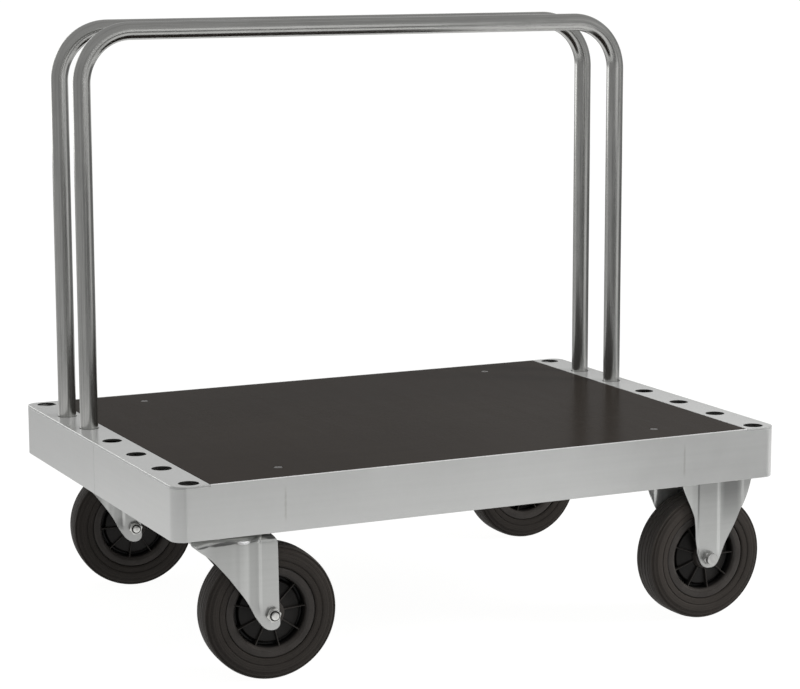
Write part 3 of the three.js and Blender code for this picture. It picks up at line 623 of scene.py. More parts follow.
# ----------------------------------------------------------------------- hoops
def hoop(name, y0):
    """Bent tube with its wall, and a uv map (around, along) in metres."""
    n, nb = 56, 28
    st = [(-SOCKET_X, HOOP_FOOT, 0.0, 1.0)]
    for z in (260.0, 300.0, 340.0, 480.0, 620.0, 740.0):
        st.append((-SOCKET_X, z, 0.0, 1.0))
    cx, cz = SOCKET_X - HOOP_BEND, HOOP_TOP - HOOP_BEND
    for i in range(nb + 1):
        a = math.pi - i / nb * math.pi / 2
        st.append((-cx + HOOP_BEND * math.cos(a), cz + HOOP_BEND * math.sin(a), math.sin(a), -math.cos(a)))
    for x in (-240.0, -120.0, 0.0, 120.0, 240.0):
        st.append((x, HOOP_TOP, 1.0, 0.0))
    for i in range(nb + 1):
        a = math.pi / 2 - i / nb * math.pi / 2
        st.append((cx + HOOP_BEND * math.cos(a), cz + HOOP_BEND * math.sin(a), math.sin(a), -math.cos(a)))
    for z in (740.0, 620.0, 480.0, 340.0, 300.0, 260.0):
        st.append((SOCKET_X, z, 0.0, -1.0))
    st.append((SOCKET_X, HOOP_FOOT, 0.0, -1.0))
    lengths = [0.0]
    for a, b in zip(st, st[1:]):
        lengths.append(lengths[-1] + math.hypot(b[0] - a[0], b[1] - a[1]))

    def ring(s, r, shift=0.0):
        x, z, tx, tz = s
        pts = []
        for i in range(n):
            a = 2 * math.pi * i / n + math.pi / 2     # starts at the back
            o, d = r * math.cos(a), r * math.sin(a)
            pts.append((x + tx * shift + tz * o, y0 + d, z + tz * shift - tx * o))
        return pts

    ri = TUBE_R - TUBE_WALL
    rows, along = [], []

    def row(s, r, v, shift=0.0):
        rows.append(ring(s, r, shift))
        along.append(v)

    c = 0.6
    row(st[0], TUBE_R - c, 0.0)
    row(st[0], TUBE_R - 0.17, 0.2, 0.17)
    row(st[0], TUBE_R, c, c)
    for s, v in zip(st[1:-1], lengths[1:-1]):
        row(s, TUBE_R, v)
    end = lengths[-1]
    row(st[-1], TUBE_R, end - c, -c)
    row(st[-1], TUBE_R - 0.17, end - 0.2, -0.17)
    row(st[-1], TUBE_R - c, end)
    row(st[-1], ri, end)
    for s, v in zip(st[-2:0:-1], lengths[-2:0:-1]):
        row(s, ri, v)
    row(st[0], ri, 0.0)
    verts, faces = loft(rows, closed=True)
    me = bpy.data.meshes.new(name)
    me.from_pydata([(x * MM, y * MM, z * MM) for x, y, z in verts], [], faces)
    layer = me.uv_layers.new(name="around_along")
    girth = 2 * math.pi * TUBE_R * MM
    uvs = []
    for k in range(len(rows)):
        k2 = (k + 1) % len(rows)
        for i in range(n):
            u0, u1 = girth * i / n, girth * (i + 1) / n
            v0, v1 = along[k] * MM, along[k2] * MM
            uvs += [u0, v0, u1, v0, u1, v1, u0, v1]
    layer.data.foreach_set("uv", uvs)
    bm = bmesh.new()
    bm.from_mesh(me)
    bmesh.ops.recalc_face_normals(bm, faces=bm.faces)
    bm.to_mesh(me)
    bm.free()
    me.shade_smooth()
    me.set_sharp_from_angle(angle=math.radians(50))
    return me


for name, i in (("front", 4), ("back", 5)):
    put(f"tube_hoop_{name}", hoop(f"tube_hoop_{name}", (i - 3) * SOCKET_PITCH), M_TUBE, f"hoop_{name}",
        [f"hoop_{name}"], weighted=False)


# ---------------------------------------------------------------- castor forks
def pchip(xs, ys, xq):
    """Monotone cubic through the points."""
    xs, ys, xq = (np.asarray(a, float) for a in (xs, ys, xq))
    h = np.diff(xs)
    d = np.diff(ys) / h
    m = np.zeros(len(xs))
    m[0], m[-1] = d[0], d[-1]
    for k in range(1, len(xs) - 1):
        if d[k - 1] * d[k] > 0:
            w1, w2 = 2 * h[k] + h[k - 1], h[k] + 2 * h[k - 1]
            m[k] = (w1 + w2) / (w1 / d[k - 1] + w2 / d[k])
    i = np.clip(np.searchsorted(xs, xq) - 1, 0, len(xs) - 2)
    t = np.clip((xq - xs[i]) / h[i], 0, 1)
    return ((1 + 2 * t) * (1 - t) ** 2 * ys[i] + t * (1 - t) ** 2 * h[i] * m[i]
            + t * t * (3 - 2 * t) * ys[i + 1] + t * t * (t - 1) * h[i] * m[i + 1])


SWIVEL_LEFT = [(50.6, 75.9), (48.9, 76.0), (44.6, 77.1), (39.8, 79.7), (35.7, 83.4), (32.4, 87.6), (27, 96), (16.6, 116.7),
               (-5.8, 149), (-25, 173), (-40, 189.4), (-54.6, 200.2), (-62, 206.5), (-67, 211.5), (-68, 220)]
SWIVEL_RIGHT = [(50.6, 75.9), (52.4, 76.0), (57.5, 77.2), (60.5, 79.4), (62.4, 82.5), (63.2, 86.5), (62.9, 94.6), (62.2, 103),
                (61.4, 156), (60.5, 207), (57.5, 213), (53, 218), (51, 220)]
FIXED_LEFT = [(3, 82.9), (0, 83.0), (-6.2, 84.7), (-10.4, 87.8), (-13.4, 92), (-16.4, 99), (-21, 116), (-23.6, 132), (-24.4, 148),
              (-26, 164), (-31.4, 180), (-39, 197), (-46.5, 217), (-50, 240)]
FIXED_RIGHT = [(3, 82.9), (6.3, 83.0), (10.9, 84.2), (14.4, 86.4), (17.4, 90.2), (19.4, 94), (29, 115), (39.7, 133.5), (48.5, 147),
               (61.2, 172), (72.6, 197), (77.4, 213), (79.2, 222.5), (60, 226.4), (51.5, 227.2), (51.4, 240)]


def edge_of(points, z):
    """u of an outline at height z. The square root makes the round bottom even."""
    zb = points[0][1]
    s = [math.sqrt(max(p[1] - zb, 0.0)) for p in points]
    return pchip(s, [p[0] for p in points], np.sqrt(np.maximum(np.asarray(z, float) - zb, 0.0)))


def swivel_relief(u, z):
    """How far the pressed leg stands out of its plane: edge strip, valley, soft rib, flared corner."""
    strip = smooth01(31.1, 35.3, u)
    left = -1.7 + 1.7 * smooth01(-3.0, 10.5, u) - 2.0 * smooth01(12.5, 30.0, u)
    h = left * (1 - strip) * smooth01(97.0, 122.0, z)
    lip = 2.6 * smooth01(-40.0, -63.0, u) * smooth01(186.0, 206.0, z)
    return h + lip


def fixed_relief(u, z):
    """Flat middle between two ridges, flanks that fall away, a turned-out edge."""
    h = 0.8 * np.exp(-((u - 18.2) / 1.9) ** 2)
    h = h - 3.4 * np.clip((u - 20.0) / 42.0, 0, 1) + 1.6 * smooth01(60.0, 65.5, u)
    h = h + 1.15 * smooth01(-17.4, -20.6, u) - 2.6 * np.clip((-21.5 - u) / 26.0, 0, 1)
    return h * smooth01(92.0, 116.0, z)


def sheet_mesh(name, P, keep, thick, r):
    """A pressed sheet from a grid of points on its outer face: an inner face, and rounded edges all round."""
    rows, cols = P.shape[:2]
    dr = np.gradient(P, axis=0)
    dc = np.gradient(P, axis=1)
    N = np.cross(dc, dr)
    ln = np.linalg.norm(N, axis=2, keepdims=True)
    bad = ln[..., 0] < 1e-9
    N = N / np.maximum(ln, 1e-9)
    for i, j in zip(*np.nonzero(bad)):
        N[i, j] = N[min(i + 1, rows - 1), j]
    idx = lambda i, j: i * cols + j
    quads = [(idx(i, j), idx(i, j + 1), idx(i + 1, j + 1), idx(i + 1, j)) for i in range(rows - 1) for j in range(cols - 1) if keep[i, j]]
    flat, nor = P.reshape(-1, 3).copy(), N.reshape(-1, 3)
    count, inward = {}, {}
    for q in quads:
        centre = flat[list(q)].mean(0)
        for a, b in zip(q, q[1:] + q[:1]):
            key = (min(a, b), max(a, b))
            count[key] = count.get(key, 0) + 1
        for a in q:
            inward.setdefault(a, []).append(centre)
    rim = [k for k, c in count.items() if c == 1]
    mates = {}
    for a, b in rim:
        mates.setdefault(a, []).append(b)
        mates.setdefault(b, []).append(a)
    out_dir = {}
    for a, ms in mates.items():
        tangent = flat[ms[-1]] - flat[ms[0]]
        tangent = tangent / max(np.linalg.norm(tangent), 1e-9)
        d = flat[a] - np.mean(inward[a], axis=0)
        d = d - nor[a] * (d @ nor[a])
        d = d - tangent * (d @ tangent)
        out_dir[a] = d / max(np.linalg.norm(d), 1e-9)
    verts, faces = [], []
    outer, inner = {}, {}
    used = sorted({a for q in quads for a in q})
    for a in used:
        p = flat[a] - (out_dir[a] * r if a in out_dir else 0.0)
        outer[a] = len(verts)
        verts.append(p)
        inner[a] = len(verts)
        verts.append(p - nor[a] * thick)
    for q in quads:
        faces.append([outer[a] for a in q])
        faces.append([inner[a] for a in reversed(q)])
    bands = {}
    for a in out_dir:
        ids = [outer[a]]
        for k in (1, 2, 3):
            t = math.radians(30 * k)
            ids.append(len(verts))
            verts.append(flat[a] - out_dir[a] * (r - r * math.sin(t)) - nor[a] * (r - r * math.cos(t)))
        for k in (0, 1, 2):
            t = math.radians(30 * k)
            ids.append(len(verts))
            verts.append(flat[a] - out_dir[a] * (r - r * math.cos(t)) - nor[a] * (thick - r + r * math.sin(t)))
        ids.append(inner[a])
        bands[a] = ids
    for a, b in rim:
        for k in range(len(bands[a]) - 1):
            faces.append([bands[a][k], bands[b][k], bands[b][k + 1], bands[a][k + 1]])
    return mesh_of(name, verts, faces, angle=50)


def fork(name, left, right, relief, crown, shoulder, groups, holes, pin=None, turned=False):
    """A folded fork on the swivel or axle line, wheel axis along Y: near leg, shoulder, crown, shoulder, far leg.
    turned gives the far leg the near leg's shape turned half round."""
    zb, zs = left[0][1], crown - shoulder
    s = np.linspace(0.25, math.sqrt(zs - zb), 66)
    legs = zb + s * s
    extra = [z for z in np.arange(zs - 14.0, zs, 1.4)]
    legs = np.unique(np.concatenate([legs[legs < zs - 15.0], extra, [zs]]))
    rows = [(-FORK_OUT, z, -1.0, 0.0) for z in legs]
    for k in range(1, 10):
        a = math.radians(90 * k / 9)
        rows.append((-FORK_OUT + shoulder - shoulder * math.cos(a), zs + shoulder * math.sin(a), -math.cos(a), math.sin(a)))
    for y in np.linspace(-FORK_OUT + shoulder, FORK_OUT - shoulder, 19)[1:-1]:
        rows.append((float(y), crown, 0.0, 1.0))
    rows += [(-y, z, -ny, nz) for y, z, ny, nz in reversed(rows[: len(legs) + 9])]
    P = []
    U = []
    for y, z, ny, nz in rows:
        u0, u1 = float(edge_of(left, z)), float(edge_of(right, z))
        w = u1 - u0
        marks = [u0]
        for target, share, _ in groups:
            marks.append(max(target, u0 + share * w) if target is not None else u1)
        marks[-1] = u1
        for k in range(len(marks) - 2, 0, -1):
            marks[k] = min(marks[k], marks[k + 1] - 0.06 * w)
        us = [u0]
        for (_, _, n), a, b in zip(groups, marks, marks[1:]):
            us += list(np.linspace(a, b, n + 1)[1:])
        us = np.array(us)
        fade = 1.0 - float(smooth01(zs, crown, z)) if nz < 0.999 else 0.0
        h = relief(us, np.full_like(us, min(z, zs))) * fade
        if turned:
            far = float(np.clip((y + FORK_OUT - shoulder) / (2 * (FORK_OUT - shoulder)), 0, 1))
            us = us * (1 - far) - us[::-1] * far
            h = h * (1 - far) + h[::-1] * far
        P.append(np.stack([us, y + ny * h, z + nz * h], axis=1))
        U.append(us)
    P = np.array(P)
    rows_n, cols_n = P.shape[:2]
    keep = np.ones((rows_n - 1, cols_n - 1), bool)
    mid = (P[:-1, :-1] + P[1:, :-1] + P[:-1, 1:] + P[1:, 1:]) / 4
    crown_row = np.array([abs(nz) > 0.999 for _, _, _, nz in rows])
    snap = []
    for cu, cz, rad in holes:
        d = np.hypot(mid[..., 0] - cu, mid[..., 2] - cz)
        keep &= ~(d < rad)
        snap.append((cu, cz, rad, 2))
    if pin:
        d = np.hypot(mid[..., 0], mid[..., 1])
        top = mid[..., 2] > crown - 0.5
        keep &= ~((d < pin) & top)
    # vertices on the rim of a hole move onto its circle
    touched = np.zeros((rows_n, cols_n, 2), int)
    for i in range(rows_n - 1):
        for j in range(cols_n - 1):
            for a, b in ((i, j), (i + 1, j), (i, j + 1), (i + 1, j + 1)):
                touched[a, b, 0 if keep[i, j] else 1] += 1
    rim = (touched[..., 0] > 0) & (touched[..., 1] > 0)
    for i, j in zip(*np.nonzero(rim)):
        p = P[i, j]
        if pin and crown_row[i]:
            d = math.hypot(p[0], p[1])
            P[i, j, 0], P[i, j, 1] = p[0] * pin / d, p[1] * pin / d
            continue
        for cu, cz, rad, _ in snap:
            d = math.hypot(p[0] - cu, p[2] - cz)
            if d < rad * 2:
                P[i, j, 0], P[i, j, 2] = cu + (p[0] - cu) * rad / d, cz + (p[2] - cz) * rad / d
    return sheet_mesh(name, P, keep, FORK_T, 0.7)


SWIVEL_GROUPS = [(-3.0, 0.16, 18), (30.0, 0.46, 26), (36.5, 0.62, 10), (None, 1.0, 16)]
FIXED_GROUPS = [(-22.0, 0.18, 12), (-16.5, 0.30, 8), (16.0, 0.62, 18), (21.5, 0.72, 8), (59.0, 0.90, 18), (None, 1.0, 10)]

swivel_fork_mesh = fork("swivel_fork_sheet", SWIVEL_LEFT, SWIVEL_RIGHT, swivel_relief, CROWN_Z, 12.0, SWIVEL_GROUPS,
                        [(TRAIL, WHEEL_R, 6.6)], pin=8.8)
fixed_fork_mesh = fork("fixed_fork_sheet", FIXED_LEFT, FIXED_RIGHT, fixed_relief, 229.9, 6.0, FIXED_GROUPS,
                       [(0.0, WHEEL_R, 6.6)], turned=True)


def castor_plate(name):
    """Top plate with rounded corners and four bolt holes."""
    px, py, pr = 52.0 - 6.0, 50.5 - 6.0, 6.0
    out = []
    for sx, sy, a in ((1, -1, 270), (1, 1, 0), (-1, 1, 90), (-1, -1, 180)):
        out += arc2(sx * px, sy * py, pr, a, a + 90, 8)
    r = 0.8

    def inset(d, z):
        return [(x - nx * d, y - ny * d, z) for x, y, nx, ny in out]

    z0, z1 = CASTOR_H - 5.0, CASTOR_H
    loops = []
    for k in range(4):
        a = math.radians(30 * k)
        loops.append(inset(r - r * math.sin(a), z0 + r - r * math.cos(a)))
    for k in range(4):
        a = math.radians(30 * k)
        loops.append(inset(r - r * math.cos(a), z1 - r + r * math.sin(a)))
    parts = [loft(loops, caps=False)]
    tops, bottoms = [], []
    for sx in (-1, 1):
        for sy in (-1, 1):
            hole = [ring_z(5.9, z0, 28, sx * 38, sy * 41.5), ring_z(5.5, z0 + 0.4, 28, sx * 38, sy * 41.5),
                    ring_z(5.5, z1 - 0.4, 28, sx * 38, sy * 41.5), ring_z(5.9, z1, 28, sx * 38, sy * 41.5)]
            parts.append(loft(hole, caps=False))
            tops.append(hole[-1])
            bottoms.append(hole[0])
    parts.append(fill_plane(loops[-1], tops, z1, True))
    parts.append(fill_plane(loops[0], bottoms, z0, False))
    return merge_meshes(name, parts)


plate_mesh = castor_plate("castor_plate_sheet")
z = CASTOR_H - 5.0
upper_race_mesh = mesh_of("upper_race", *lathe_z([
    (0.0, z), (34.0, z), (33.4, z - 1.2), (31.6, z - 3.4), (29.4, z - 6.6), (28.4, z - 7.6), (27.0, z - 8.0), (0.0, z - 8.0)], 72))
pin_mesh = mesh_of("kingpin", *lathe_z([
    (0.0, z - 7.9), (7.9, z - 7.9), (7.9, 214.6), (10.9, 214.6), (11.4, 214.1), (11.5, 211.0), (10.6, 209.0), (8.0, 207.7), (4.0, 207.1), (0.0, 207.0)], 56))
lower_race_mesh = mesh_of("lower_race", *lathe_z([
    (12.2, 218.3), (28.6, 218.3), (30.2, 218.7), (30.9, 219.6), (30.7, 220.8), (29.4, 221.6), (27.0, 221.7), (14.0, 221.7), (12.4, 221.2)], 72, closed=True))


# ---------------------------------------------------------------------- wheels
def tyre_profile():
    half = [
        (63.9, 0.0), (63.9, 17.2), (67.9, 17.6), (68.1, 19.6), (68.4, 21.4), (69.0, 22.3), (70.2, 22.8), (73.0, 23.1), (75.6, 23.4), (76.8, 23.5),
        (77.2, 22.8), (77.8, 22.6), (78.4, 22.8), (78.8, 23.7), (80.5, 24.0), (84.0, 24.3), (87.0, 24.25), (88.3, 24.15), (88.5, 23.75),
        (89.0, 23.7), (89.2, 24.0), (90.5, 23.85), (90.7, 23.4), (91.2, 23.35), (91.4, 23.65), (92.6, 23.4), (93.6, 23.1),
        (94.2, 22.6), (94.5, 21.6), (95.1, 20.9), (96.0, 20.7), (96.5, 21.0), (96.9, 21.5), (97.6, 21.4), (98.3, 20.7), (98.8, 19.7), (99.0, 18.6),
        (98.4, 18.0), (98.3, 17.2), (99.3, 16.6), (99.6, 15.0), (99.6, 13.6), (98.4, 13.1), (98.4, 12.0), (99.7, 11.5), (99.9, 8.5), (99.9, 6.0),
        (98.6, 5.5), (98.6, 4.2), (100.0, 3.7), (100.0, 1.2)]
    near = [(r, -y) for r, y in half]
    far = [(r, y) for r, y in reversed(half[1:])]
    return near + far


def rim_profile():
    half = [
        (9.7, 0.0), (9.7, 25.9), (10.3, 26.5), (17.3, 26.5), (18.4, 26.1), (18.9, 25.2), (19.4, 16.0), (20.0, 14.2), (21.6, 13.2),
        (44.4, 11.3), (45.6, 10.8), (46.2, 9.8), (46.7, 5.2), (47.3, 4.0), (48.4, 3.5), (50.6, 3.5), (51.6, 4.0), (52.2, 5.4),
        (52.8, 13.6), (53.1, 15.6), (53.7, 17.3), (54.6, 18.8), (55.8, 20.0), (57.3, 20.8), (59.0, 21.1), (64.4, 21.2), (65.8, 21.0), (66.9, 20.4), (67.4, 19.5),
        (67.4, 18.2), (66.8, 17.7), (63.4, 16.9)]
    near = [(r, -y) for r, y in half]
    far = [(r, y) for r, y in reversed(half[1:])]
    return near + far


def rib(angle, sign):
    """A thin tapering rib from hub to ring, on one side of the web."""
    c, s = math.cos(angle), math.sin(angle)
    loops = []
    for r, top, half in ((18.4, 18.2, 1.05), (24.0, 17.6, 0.95), (38.0, 16.6, 0.85), (48.0, 16.4, 0.9), (53.3, 16.8, 1.15)):
        low = 1.5
        ring = [(half * 1.35, low), (half, top - 0.5), (half * 0.55, top), (-half * 0.55, top), (-half, top - 0.5), (-half * 1.35, low)]
        loops.append([(r * c - t * s, sign * h, r * s + t * c) for t, h in ring])
    return loft(loops)


def join_solid(name, base, extras, angle):
    """The base mesh with the extra solids united into it."""
    a = bpy.data.objects.new(name + "_base", base)
    b = bpy.data.objects.new(name + "_extra", extras)
    scene.collection.objects.link(a)
    scene.collection.objects.link(b)
    m = a.modifiers.new("unite", "BOOLEAN")
    m.operation = "UNION"
    m.solver = "EXACT"
    m.use_self = True
    m.object = b
    dg = bpy.context.evaluated_depsgraph_get()
    me = bpy.data.meshes.new_from_object(a.evaluated_get(dg))
    me.name = name
    bpy.data.objects.remove(a)
    bpy.data.objects.remove(b)
    return tidy(me, angle)


tyre_mesh = mesh_of("tyre_body", *lathe_y(tyre_profile(), 144), angle=60)
rim_base = mesh_of("rim_body", *lathe_y(rim_profile(), 108), angle=40)
ribs = merge_meshes("rim_ribs", [rib(math.radians(40 * k + 5), sg) for k in range(9) for sg in (-1, 1)])
rim_mesh = join_solid("rim_cast", rim_base, ribs, 40)


def hexagon(af, n, y, phase, drop=None, grow=1.0):
    """A loop round a hexagon; drop lowers its corners as a turned chamfer does."""
    pts = []
    for i in range(n):
        a = 2 * math.pi * i / n
        k = (a + phase + math.pi / 6) % (math.pi / 3) - math.pi / 6
        r = af / 2 / math.cos(k) * grow
        yy = y if drop is None else y - drop * max(r - af / 2 * 0.975, 0.0)
        pts.append((r * math.cos(a), yy, r * math.sin(a)))
    return pts


def lock_nut(phase, collar):
    """Hexagon nut with a turned top and a round locking collar, standing on y = 0 towards -y. collar is a list of
    (radius, y) from the hexagon to the bore."""
    n = 96
    loops = [ring_y(6.35, 0.0, n), ring_y(9.1, 0.0, n), hexagon(19.0, n, -0.25, phase), hexagon(19.0, n, -6.9, phase)]
    loops[2] = [(x, -0.25 - 0.42 * max(math.hypot(x, z) - 9.26, 0.0), z) for x, y, z in loops[2]]
    loops[3] = [(x, -6.9 + 0.55 * max(math.hypot(x, z) - 9.26, 0.0), z) for x, y, z in loops[3]]
    loops += [ring_y(r, y, n) for r, y in collar]
    return loft(loops, closed=True)


SHORT_COLLAR = [(9.25, -6.95), (8.95, -7.1), (8.85, -8.6), (8.55, -9.4), (8.0, -9.8), (7.75, -9.75), (7.6, -9.0), (7.45, -8.7), (6.5, -8.7),
                (6.35, -8.2), (6.35, -6.0)]
LONG_COLLAR = [(9.4, -6.95), (9.3, -7.2), (9.3, -12.6), (9.15, -13.2), (8.75, -13.6), (8.0, -13.78), (4.0, -13.85), (0.05, -13.87), (0.05, -13.45),
               (6.1, -13.4), (6.35, -13.1), (6.35, -6.0)]


def axle_bolt(phase, end=-45.0):
    """Shank with a domed end at -y and a hexagon head at +y."""
    n = 96
    y0 = FORK_OUT + 0.3
    head = [(x, y0 + 7.7 - 0.55 * max(math.hypot(x, z) - 9.26, 0.0), z) for x, y, z in hexagon(19.0, n, 0.0, phase)]
    loops = [ring_y(2.0, end, n), ring_y(4.2, end + 0.15, n), ring_y(5.4, end + 0.7, n), ring_y(5.95, end + 1.5, n), ring_y(6.0, end + 2.4, n),
             ring_y(6.0, y0, n), ring_y(9.1, y0, n), hexagon(19.0, n, y0 + 0.2, phase), head, ring_y(9.2, y0 + 7.72, n), ring_y(8.6, y0 + 7.6, n)]
    return loft(loops)


nut_mesh = mesh_of("lock_nut", *lock_nut(math.radians(20), SHORT_COLLAR), angle=32)
# the hexagon takes the darker nut zinc, painted shade for its sides
nut_mesh.materials.append(M_NUT)
nut_mesh.materials.append(M_RIM)
nut_mesh.materials.append(M_BOLT)
for p in nut_mesh.polygons:
    r_mid = math.hypot(p.center.x, p.center.z)
    if p.center.y < -8.3 * MM and r_mid < 7.7 * MM:
        p.material_index = 1             # locking insert
    elif p.center.y < -6.5 * MM:
        p.material_index = 2             # turned collar
long_nut_mesh = mesh_of("lock_nut_long", *lock_nut(math.radians(20), LONG_COLLAR), angle=32)
bolt_mesh = mesh_of("axle_bolt_turned", *axle_bolt(math.radians(8)), angle=32)
short_bolt_mesh = mesh_of("axle_bolt_short", *axle_bolt(math.radians(8), -44.4), angle=32)

WHEELS = {
    "fl": ("wheel_front_left", "swivel_front"), "bl": ("wheel_back_left", "swivel_back"),
    "fr": ("wheel_front_right", "platform"), "br": ("wheel_back_right", "platform")}


def castor_place(tag):
    """Where a castor stands: its axis on the floor, turned as it is at rest."""
    sx, sy = (-1 if tag[1] == "l" else 1), (-1 if tag[0] == "f" else 1)
    turn = SWIVEL_DEG["front" if tag[0] == "f" else "back"] if tag[1] == "l" else 0.0
    return Matrix.Translation((sx * CASTOR_X * MM, sy * CASTOR_Y * MM, 0)) @ Matrix.Rotation(math.radians(turn), 4, "Z")


SPIN = {"fl": 0.0, "bl": 17.0, "fr": 35.0, "br": 9.0}
# per tyre: the slope of the painted side light across x and z, and an even painted lift over the whole tyre
SIDE_LIGHT = {"fl": (7.0, 6.0, 0.1), "bl": (4.9, 7.8, 0.0), "fr": (-6.0, 9.0, 1.2), "br": (6.0, 7.0, 0.0)}


def tyre_with_side_light(tag):
    """A tyre with its own painted side light, lighter on one side."""
    me = tyre_mesh.copy()
    me.name = f"tyre_body_{tag}"
    kx, kz, all_over = SIDE_LIGHT[tag]
    side = me.attributes.new("painted_light_side", "FLOAT", "POINT")
    side.data.foreach_set("value", [kx * v.co.x + kz * v.co.z + all_over for v in me.vertices])
    return me


for tag, (wheel, carrier) in WHEELS.items():
    base = castor_place(tag)
    axle = base @ Matrix.Translation(((TRAIL if tag[1] == "l" else 0.0) * MM, 0, WHEEL_R * MM))
    turned = axle @ Matrix.Rotation(math.radians(-SPIN[tag]), 4, "Y")
    put(f"tyre_solid_{tag}", tyre_with_side_light(tag), M_TYRE, wheel, [f"tyre_{tag}"], axle, weighted=False)
    put(f"rim_cast_{tag}", rim_mesh, M_RIM, wheel, [f"rim_{tag}"], turned, weighted=False)
    put(f"lock_nut_{tag}", nut_mesh if tag[1] == "l" else long_nut_mesh, M_DULL, carrier, [f"axle_nut_{tag}"],
        axle @ Matrix.Translation((0, (-FORK_OUT - 0.15) * MM, 0)))
    put(f"axle_{tag}", bolt_mesh if tag[1] == "l" else short_bolt_mesh, M_BOLT, carrier, [f"axle_bolt_{tag}"], axle)

for name, tag in (("front", "fl"), ("back", "bl")):
    base = castor_place(tag)
    put(f"fork_swivel_{name}", swivel_fork_mesh, M_SWIVEL, f"swivel_{name}", [f"swivel_fork_{name}"], base, weighted=False)
    put(f"race_lower_{name}", lower_race_mesh, M_BOLT, f"swivel_{name}", [f"ball_race_{name}"], base)
    flat = Matrix.Translation(base.to_translation())
    put(f"plate_swivel_{name}", plate_mesh, M_FORK, "platform", [f"swivel_plate_{name}"], flat)
    put(f"race_upper_{name}", upper_race_mesh, M_FORK, "platform", (), flat)
    put(f"kingpin_{name}", pin_mesh, M_BOLT, "platform", (), flat)

for name, tag in (("front", "fr"), ("back", "br")):
    base = castor_place(tag)
    put(f"fork_fixed_{name}", fixed_fork_mesh, M_FIXED, "platform", [f"fixed_fork_{name}"], base, weighted=False)
    put(f"plate_fixed_{name}", plate_mesh, M_FORK, "platform", (), base)


# ------------------------------------------------ CAD pieces that stay as they are
def dress(node, mat, width, segments=2):
    ob = nodes[node]
    ob.data.materials.clear()
    ob.data.materials.append(mat)
    b = ob.modifiers.new("edges", "BEVEL")
    b.width = width * MM
    b.segments = segments
    b.limit_method = "ANGLE"
    b.angle_limit = math.radians(40)
    b.harden_normals = True
    b.use_clamp_overlap = True


for side in ("left", "right"):
    dress(f"crossmember_{side}", M_SHEET, 0.6)
    dress(f"socket_channel_{side}", M_SHEET, 0.5)
for tag in WHEELS:
    dress(f"axle_sleeve_{tag}", M_BOLT, 0.3)
    for k in (1, 2, 3, 4):
        dress(f"castor_bolt_{tag}_{k}", M_BOLT, 0.5)


# ------------------------------------------------------------ floor and lights
def stage_plane(name, corners, mat):
    me = bpy.data.meshes.new(name)
    me.from_pydata(corners, [], [(0, 1, 2, 3)])
    ob = bpy.data.objects.new(name, me)
    scene.collection.objects.link(ob)
    me.materials.append(mat)
    return ob


floor = stage_plane("floor", [(-80, -80, 0), (80, -80, 0), (80, 80, 0), (-80, 80, 0)], pale_floor("pale_floor"))
floor.visible_diffuse = False


def studio_wall(name, radius, base, height, stops, sheen_only=False):
    """A low round wall of soft light about the cart, brighter in some directions than in others."""
    n = 144
    verts = [(radius * math.sin(2 * math.pi * i / n), -radius * math.cos(2 * math.pi * i / n), h) for h in (base, height) for i in range(n)]
    me = bpy.data.meshes.new(name)
    me.from_pydata(verts, [], [(i, (i + 1) % n, n + (i + 1) % n, n + i) for i in range(n)])
    m = bpy.data.materials.new(name)
    m.use_nodes = True
    t = m.node_tree
    t.nodes.clear()
    xyz = nd(t, "ShaderNodeSeparateXYZ", {0: nd(t, "ShaderNodeTexCoord").outputs["Object"]})
    az = math_node(t, "ARCTAN2", xyz.outputs[0], math_node(t, "MULTIPLY", xyz.outputs[1], -1.0))
    ramp = nd(t, "ShaderNodeValToRGB", {0: remap(t, az, -math.pi, math.pi)})
    el = ramp.color_ramp.elements
    while len(el) > 1:
        el.remove(el[-1])
    for k, (deg, v) in enumerate(stops):
        item = el[0] if k == 0 else el.new((deg + 180.0) / 360.0)
        item.position = (deg + 180.0) / 360.0
        item.color = (v, v, v, 1.0)
    em = nd(t, "ShaderNodeEmission", {"Color": ramp.outputs[0]})
    out = nd(t, "ShaderNodeOutputMaterial")
    t.links.new(em.outputs[0], out.inputs[0])
    me.materials.append(m)
    ob = bpy.data.objects.new(name, me)
    scene.collection.objects.link(ob)
    ob.visible_camera = False
    ob.visible_shadow = False
    if sheen_only:
        ob.visible_diffuse = False
    return ob


studio_wall("studio_low", 1.30, 0.002, 0.17,
            [(-180, 0.48), (-162, 0.48), (-146, 0.80), (-90, 0.86), (-42, 0.88), (-29, 0.75), (-24, 0.30), (-14, 0.30), (-8, 0.66),
             (5, 0.72), (15, 0.80), (26, 1.10), (33, 0.48), (37, 0.18), (58, 0.13), (62, 1.00), (84, 1.00), (110, 0.80), (180, 0.66)],
            sheen_only=True)
studio_wall("studio_wall", 1.95, 0.002, 1.15,
            [(-180, 0.42), (-154, 0.60), (-100, 0.50), (-60, 0.42), (-25, 0.26), (10, 0.15), (30, 0.16), (40, 0.85),
             (62, 0.85), (73, 0.20), (103, 0.20), (140, 0.32), (180, 0.42)])
studio_wall("studio_high", 1.93, 0.58, 1.55,
            [(-180, 0.56), (-173, 0.56), (-166, 2.40), (-140, 2.40), (-131, 0.44), (-60, 0.42), (-20, 0.40), (0, 0.62),
             (10, 0.90), (20, 1.10), (29, 0.95), (38, 0.42), (50, 0.34), (110, 0.30), (120, 0.50), (128, 0.76),
             (143, 0.76), (154, 0.62), (164, 0.56), (180, 0.56)],
            sheen_only=True)


def area(name, loc, target, size, power, size_y=None):
    d = bpy.data.lights.new(name, "AREA")
    d.shape = "RECTANGLE" if size_y else "SQUARE"
    d.size = size
    if size_y:
        d.size_y = size_y
    d.energy = power
    ob = bpy.data.objects.new(name, d)
    ob.location = loc
    ob.rotation_euler = (Vector(target) - Vector(loc)).to_track_quat("-Z", "Y").to_euler()
    scene.collection.objects.link(ob)
    return ob


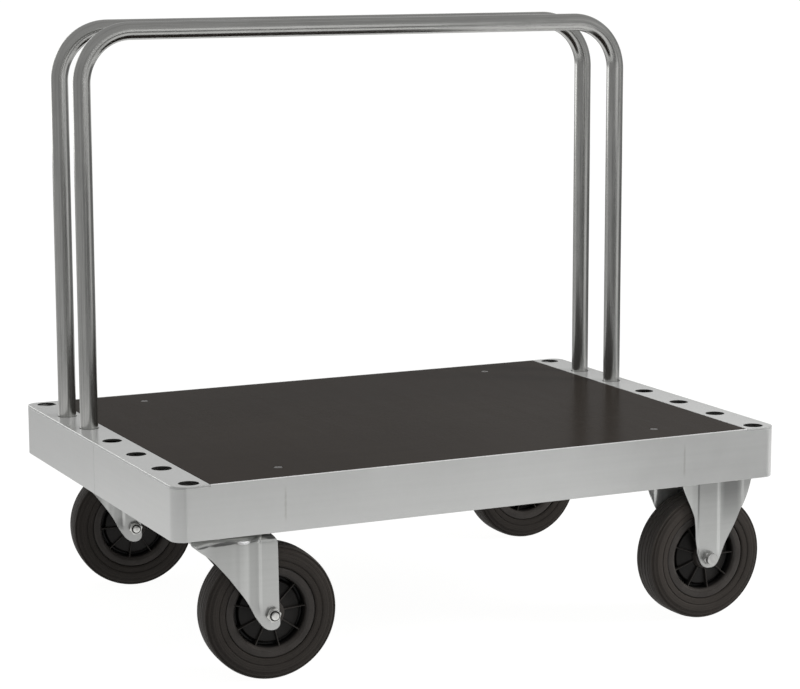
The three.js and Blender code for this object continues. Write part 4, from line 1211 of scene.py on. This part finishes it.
world = bpy.data.worlds.new("studio")
scene.world = world
world.use_nodes = True
wt = world.node_tree
wt.nodes.clear()
w_out = nd(wt, "ShaderNodeOutputWorld")
w_dir = nd(wt, "ShaderNodeSeparateXYZ", {0: nd(wt, "ShaderNodeTexCoord").outputs["Generated"]})
w_bg = nd(wt, "ShaderNodeBackground", {"Color": (1.0, 1.0, 1.0, 1.0), "Strength": remap(wt, w_dir.outputs[2], -0.35, 0.15, 0.16, 0.46, True)})
wt.links.new(w_bg.outputs[0], w_out.inputs[0])

key = area("key", (-0.25, -0.30, 2.45), (-0.1, 0.0, 0.35), 1.1, 15.0)
key.visible_glossy = False
area("front_box", (0.19, -2.83, 0.93), (-0.35, -0.33, 0.21), 0.30, 4.0)
right_box = area("right_box", (3.20, -1.90, 1.95), (0.0, -0.30, 0.15), 0.90, 88.0)
right_box.visible_glossy = False
right_glint = area("right_glint", (2.10, -1.20, 1.25), (0.35, -0.32, 0.10), 0.55, 11.0)
right_glint.visible_diffuse = False

# ---------------------------------------------------------------------- camera
YAW, PITCH, ROLL, FOCAL_PX = -25.48, 9.45, -0.13, 2470.67
a, e, q = math.radians(YAW), math.radians(PITCH), math.radians(ROLL)
back = Vector((math.sin(a) * math.cos(e), -math.cos(a) * math.cos(e), math.sin(e)))
right = Vector((math.cos(a), math.sin(a), 0.0))
up = back.cross(right)
right, up = right * math.cos(q) + up * math.sin(q), up * math.cos(q) - right * math.sin(q)
cam_data = bpy.data.cameras.new("camera")
cam_data.sensor_fit = "HORIZONTAL"
cam_data.sensor_width = 36.0
cam_data.lens = FOCAL_PX / 800.0 * 36.0
cam_data.clip_end = 400.0
cam = bpy.data.objects.new("camera", cam_data)
scene.collection.objects.link(cam)
cam.matrix_world = Matrix((
    (right.x, up.x, back.x, -1.6587),
    (right.y, up.y, back.y, -3.5128),
    (right.z, up.z, back.z, 1.0651),
    (0.0, 0.0, 0.0, 1.0)))
scene.camera = cam

scene.view_settings.view_transform = "Standard"
scene.view_settings.look = "None"

bpy.context.view_layer.update()
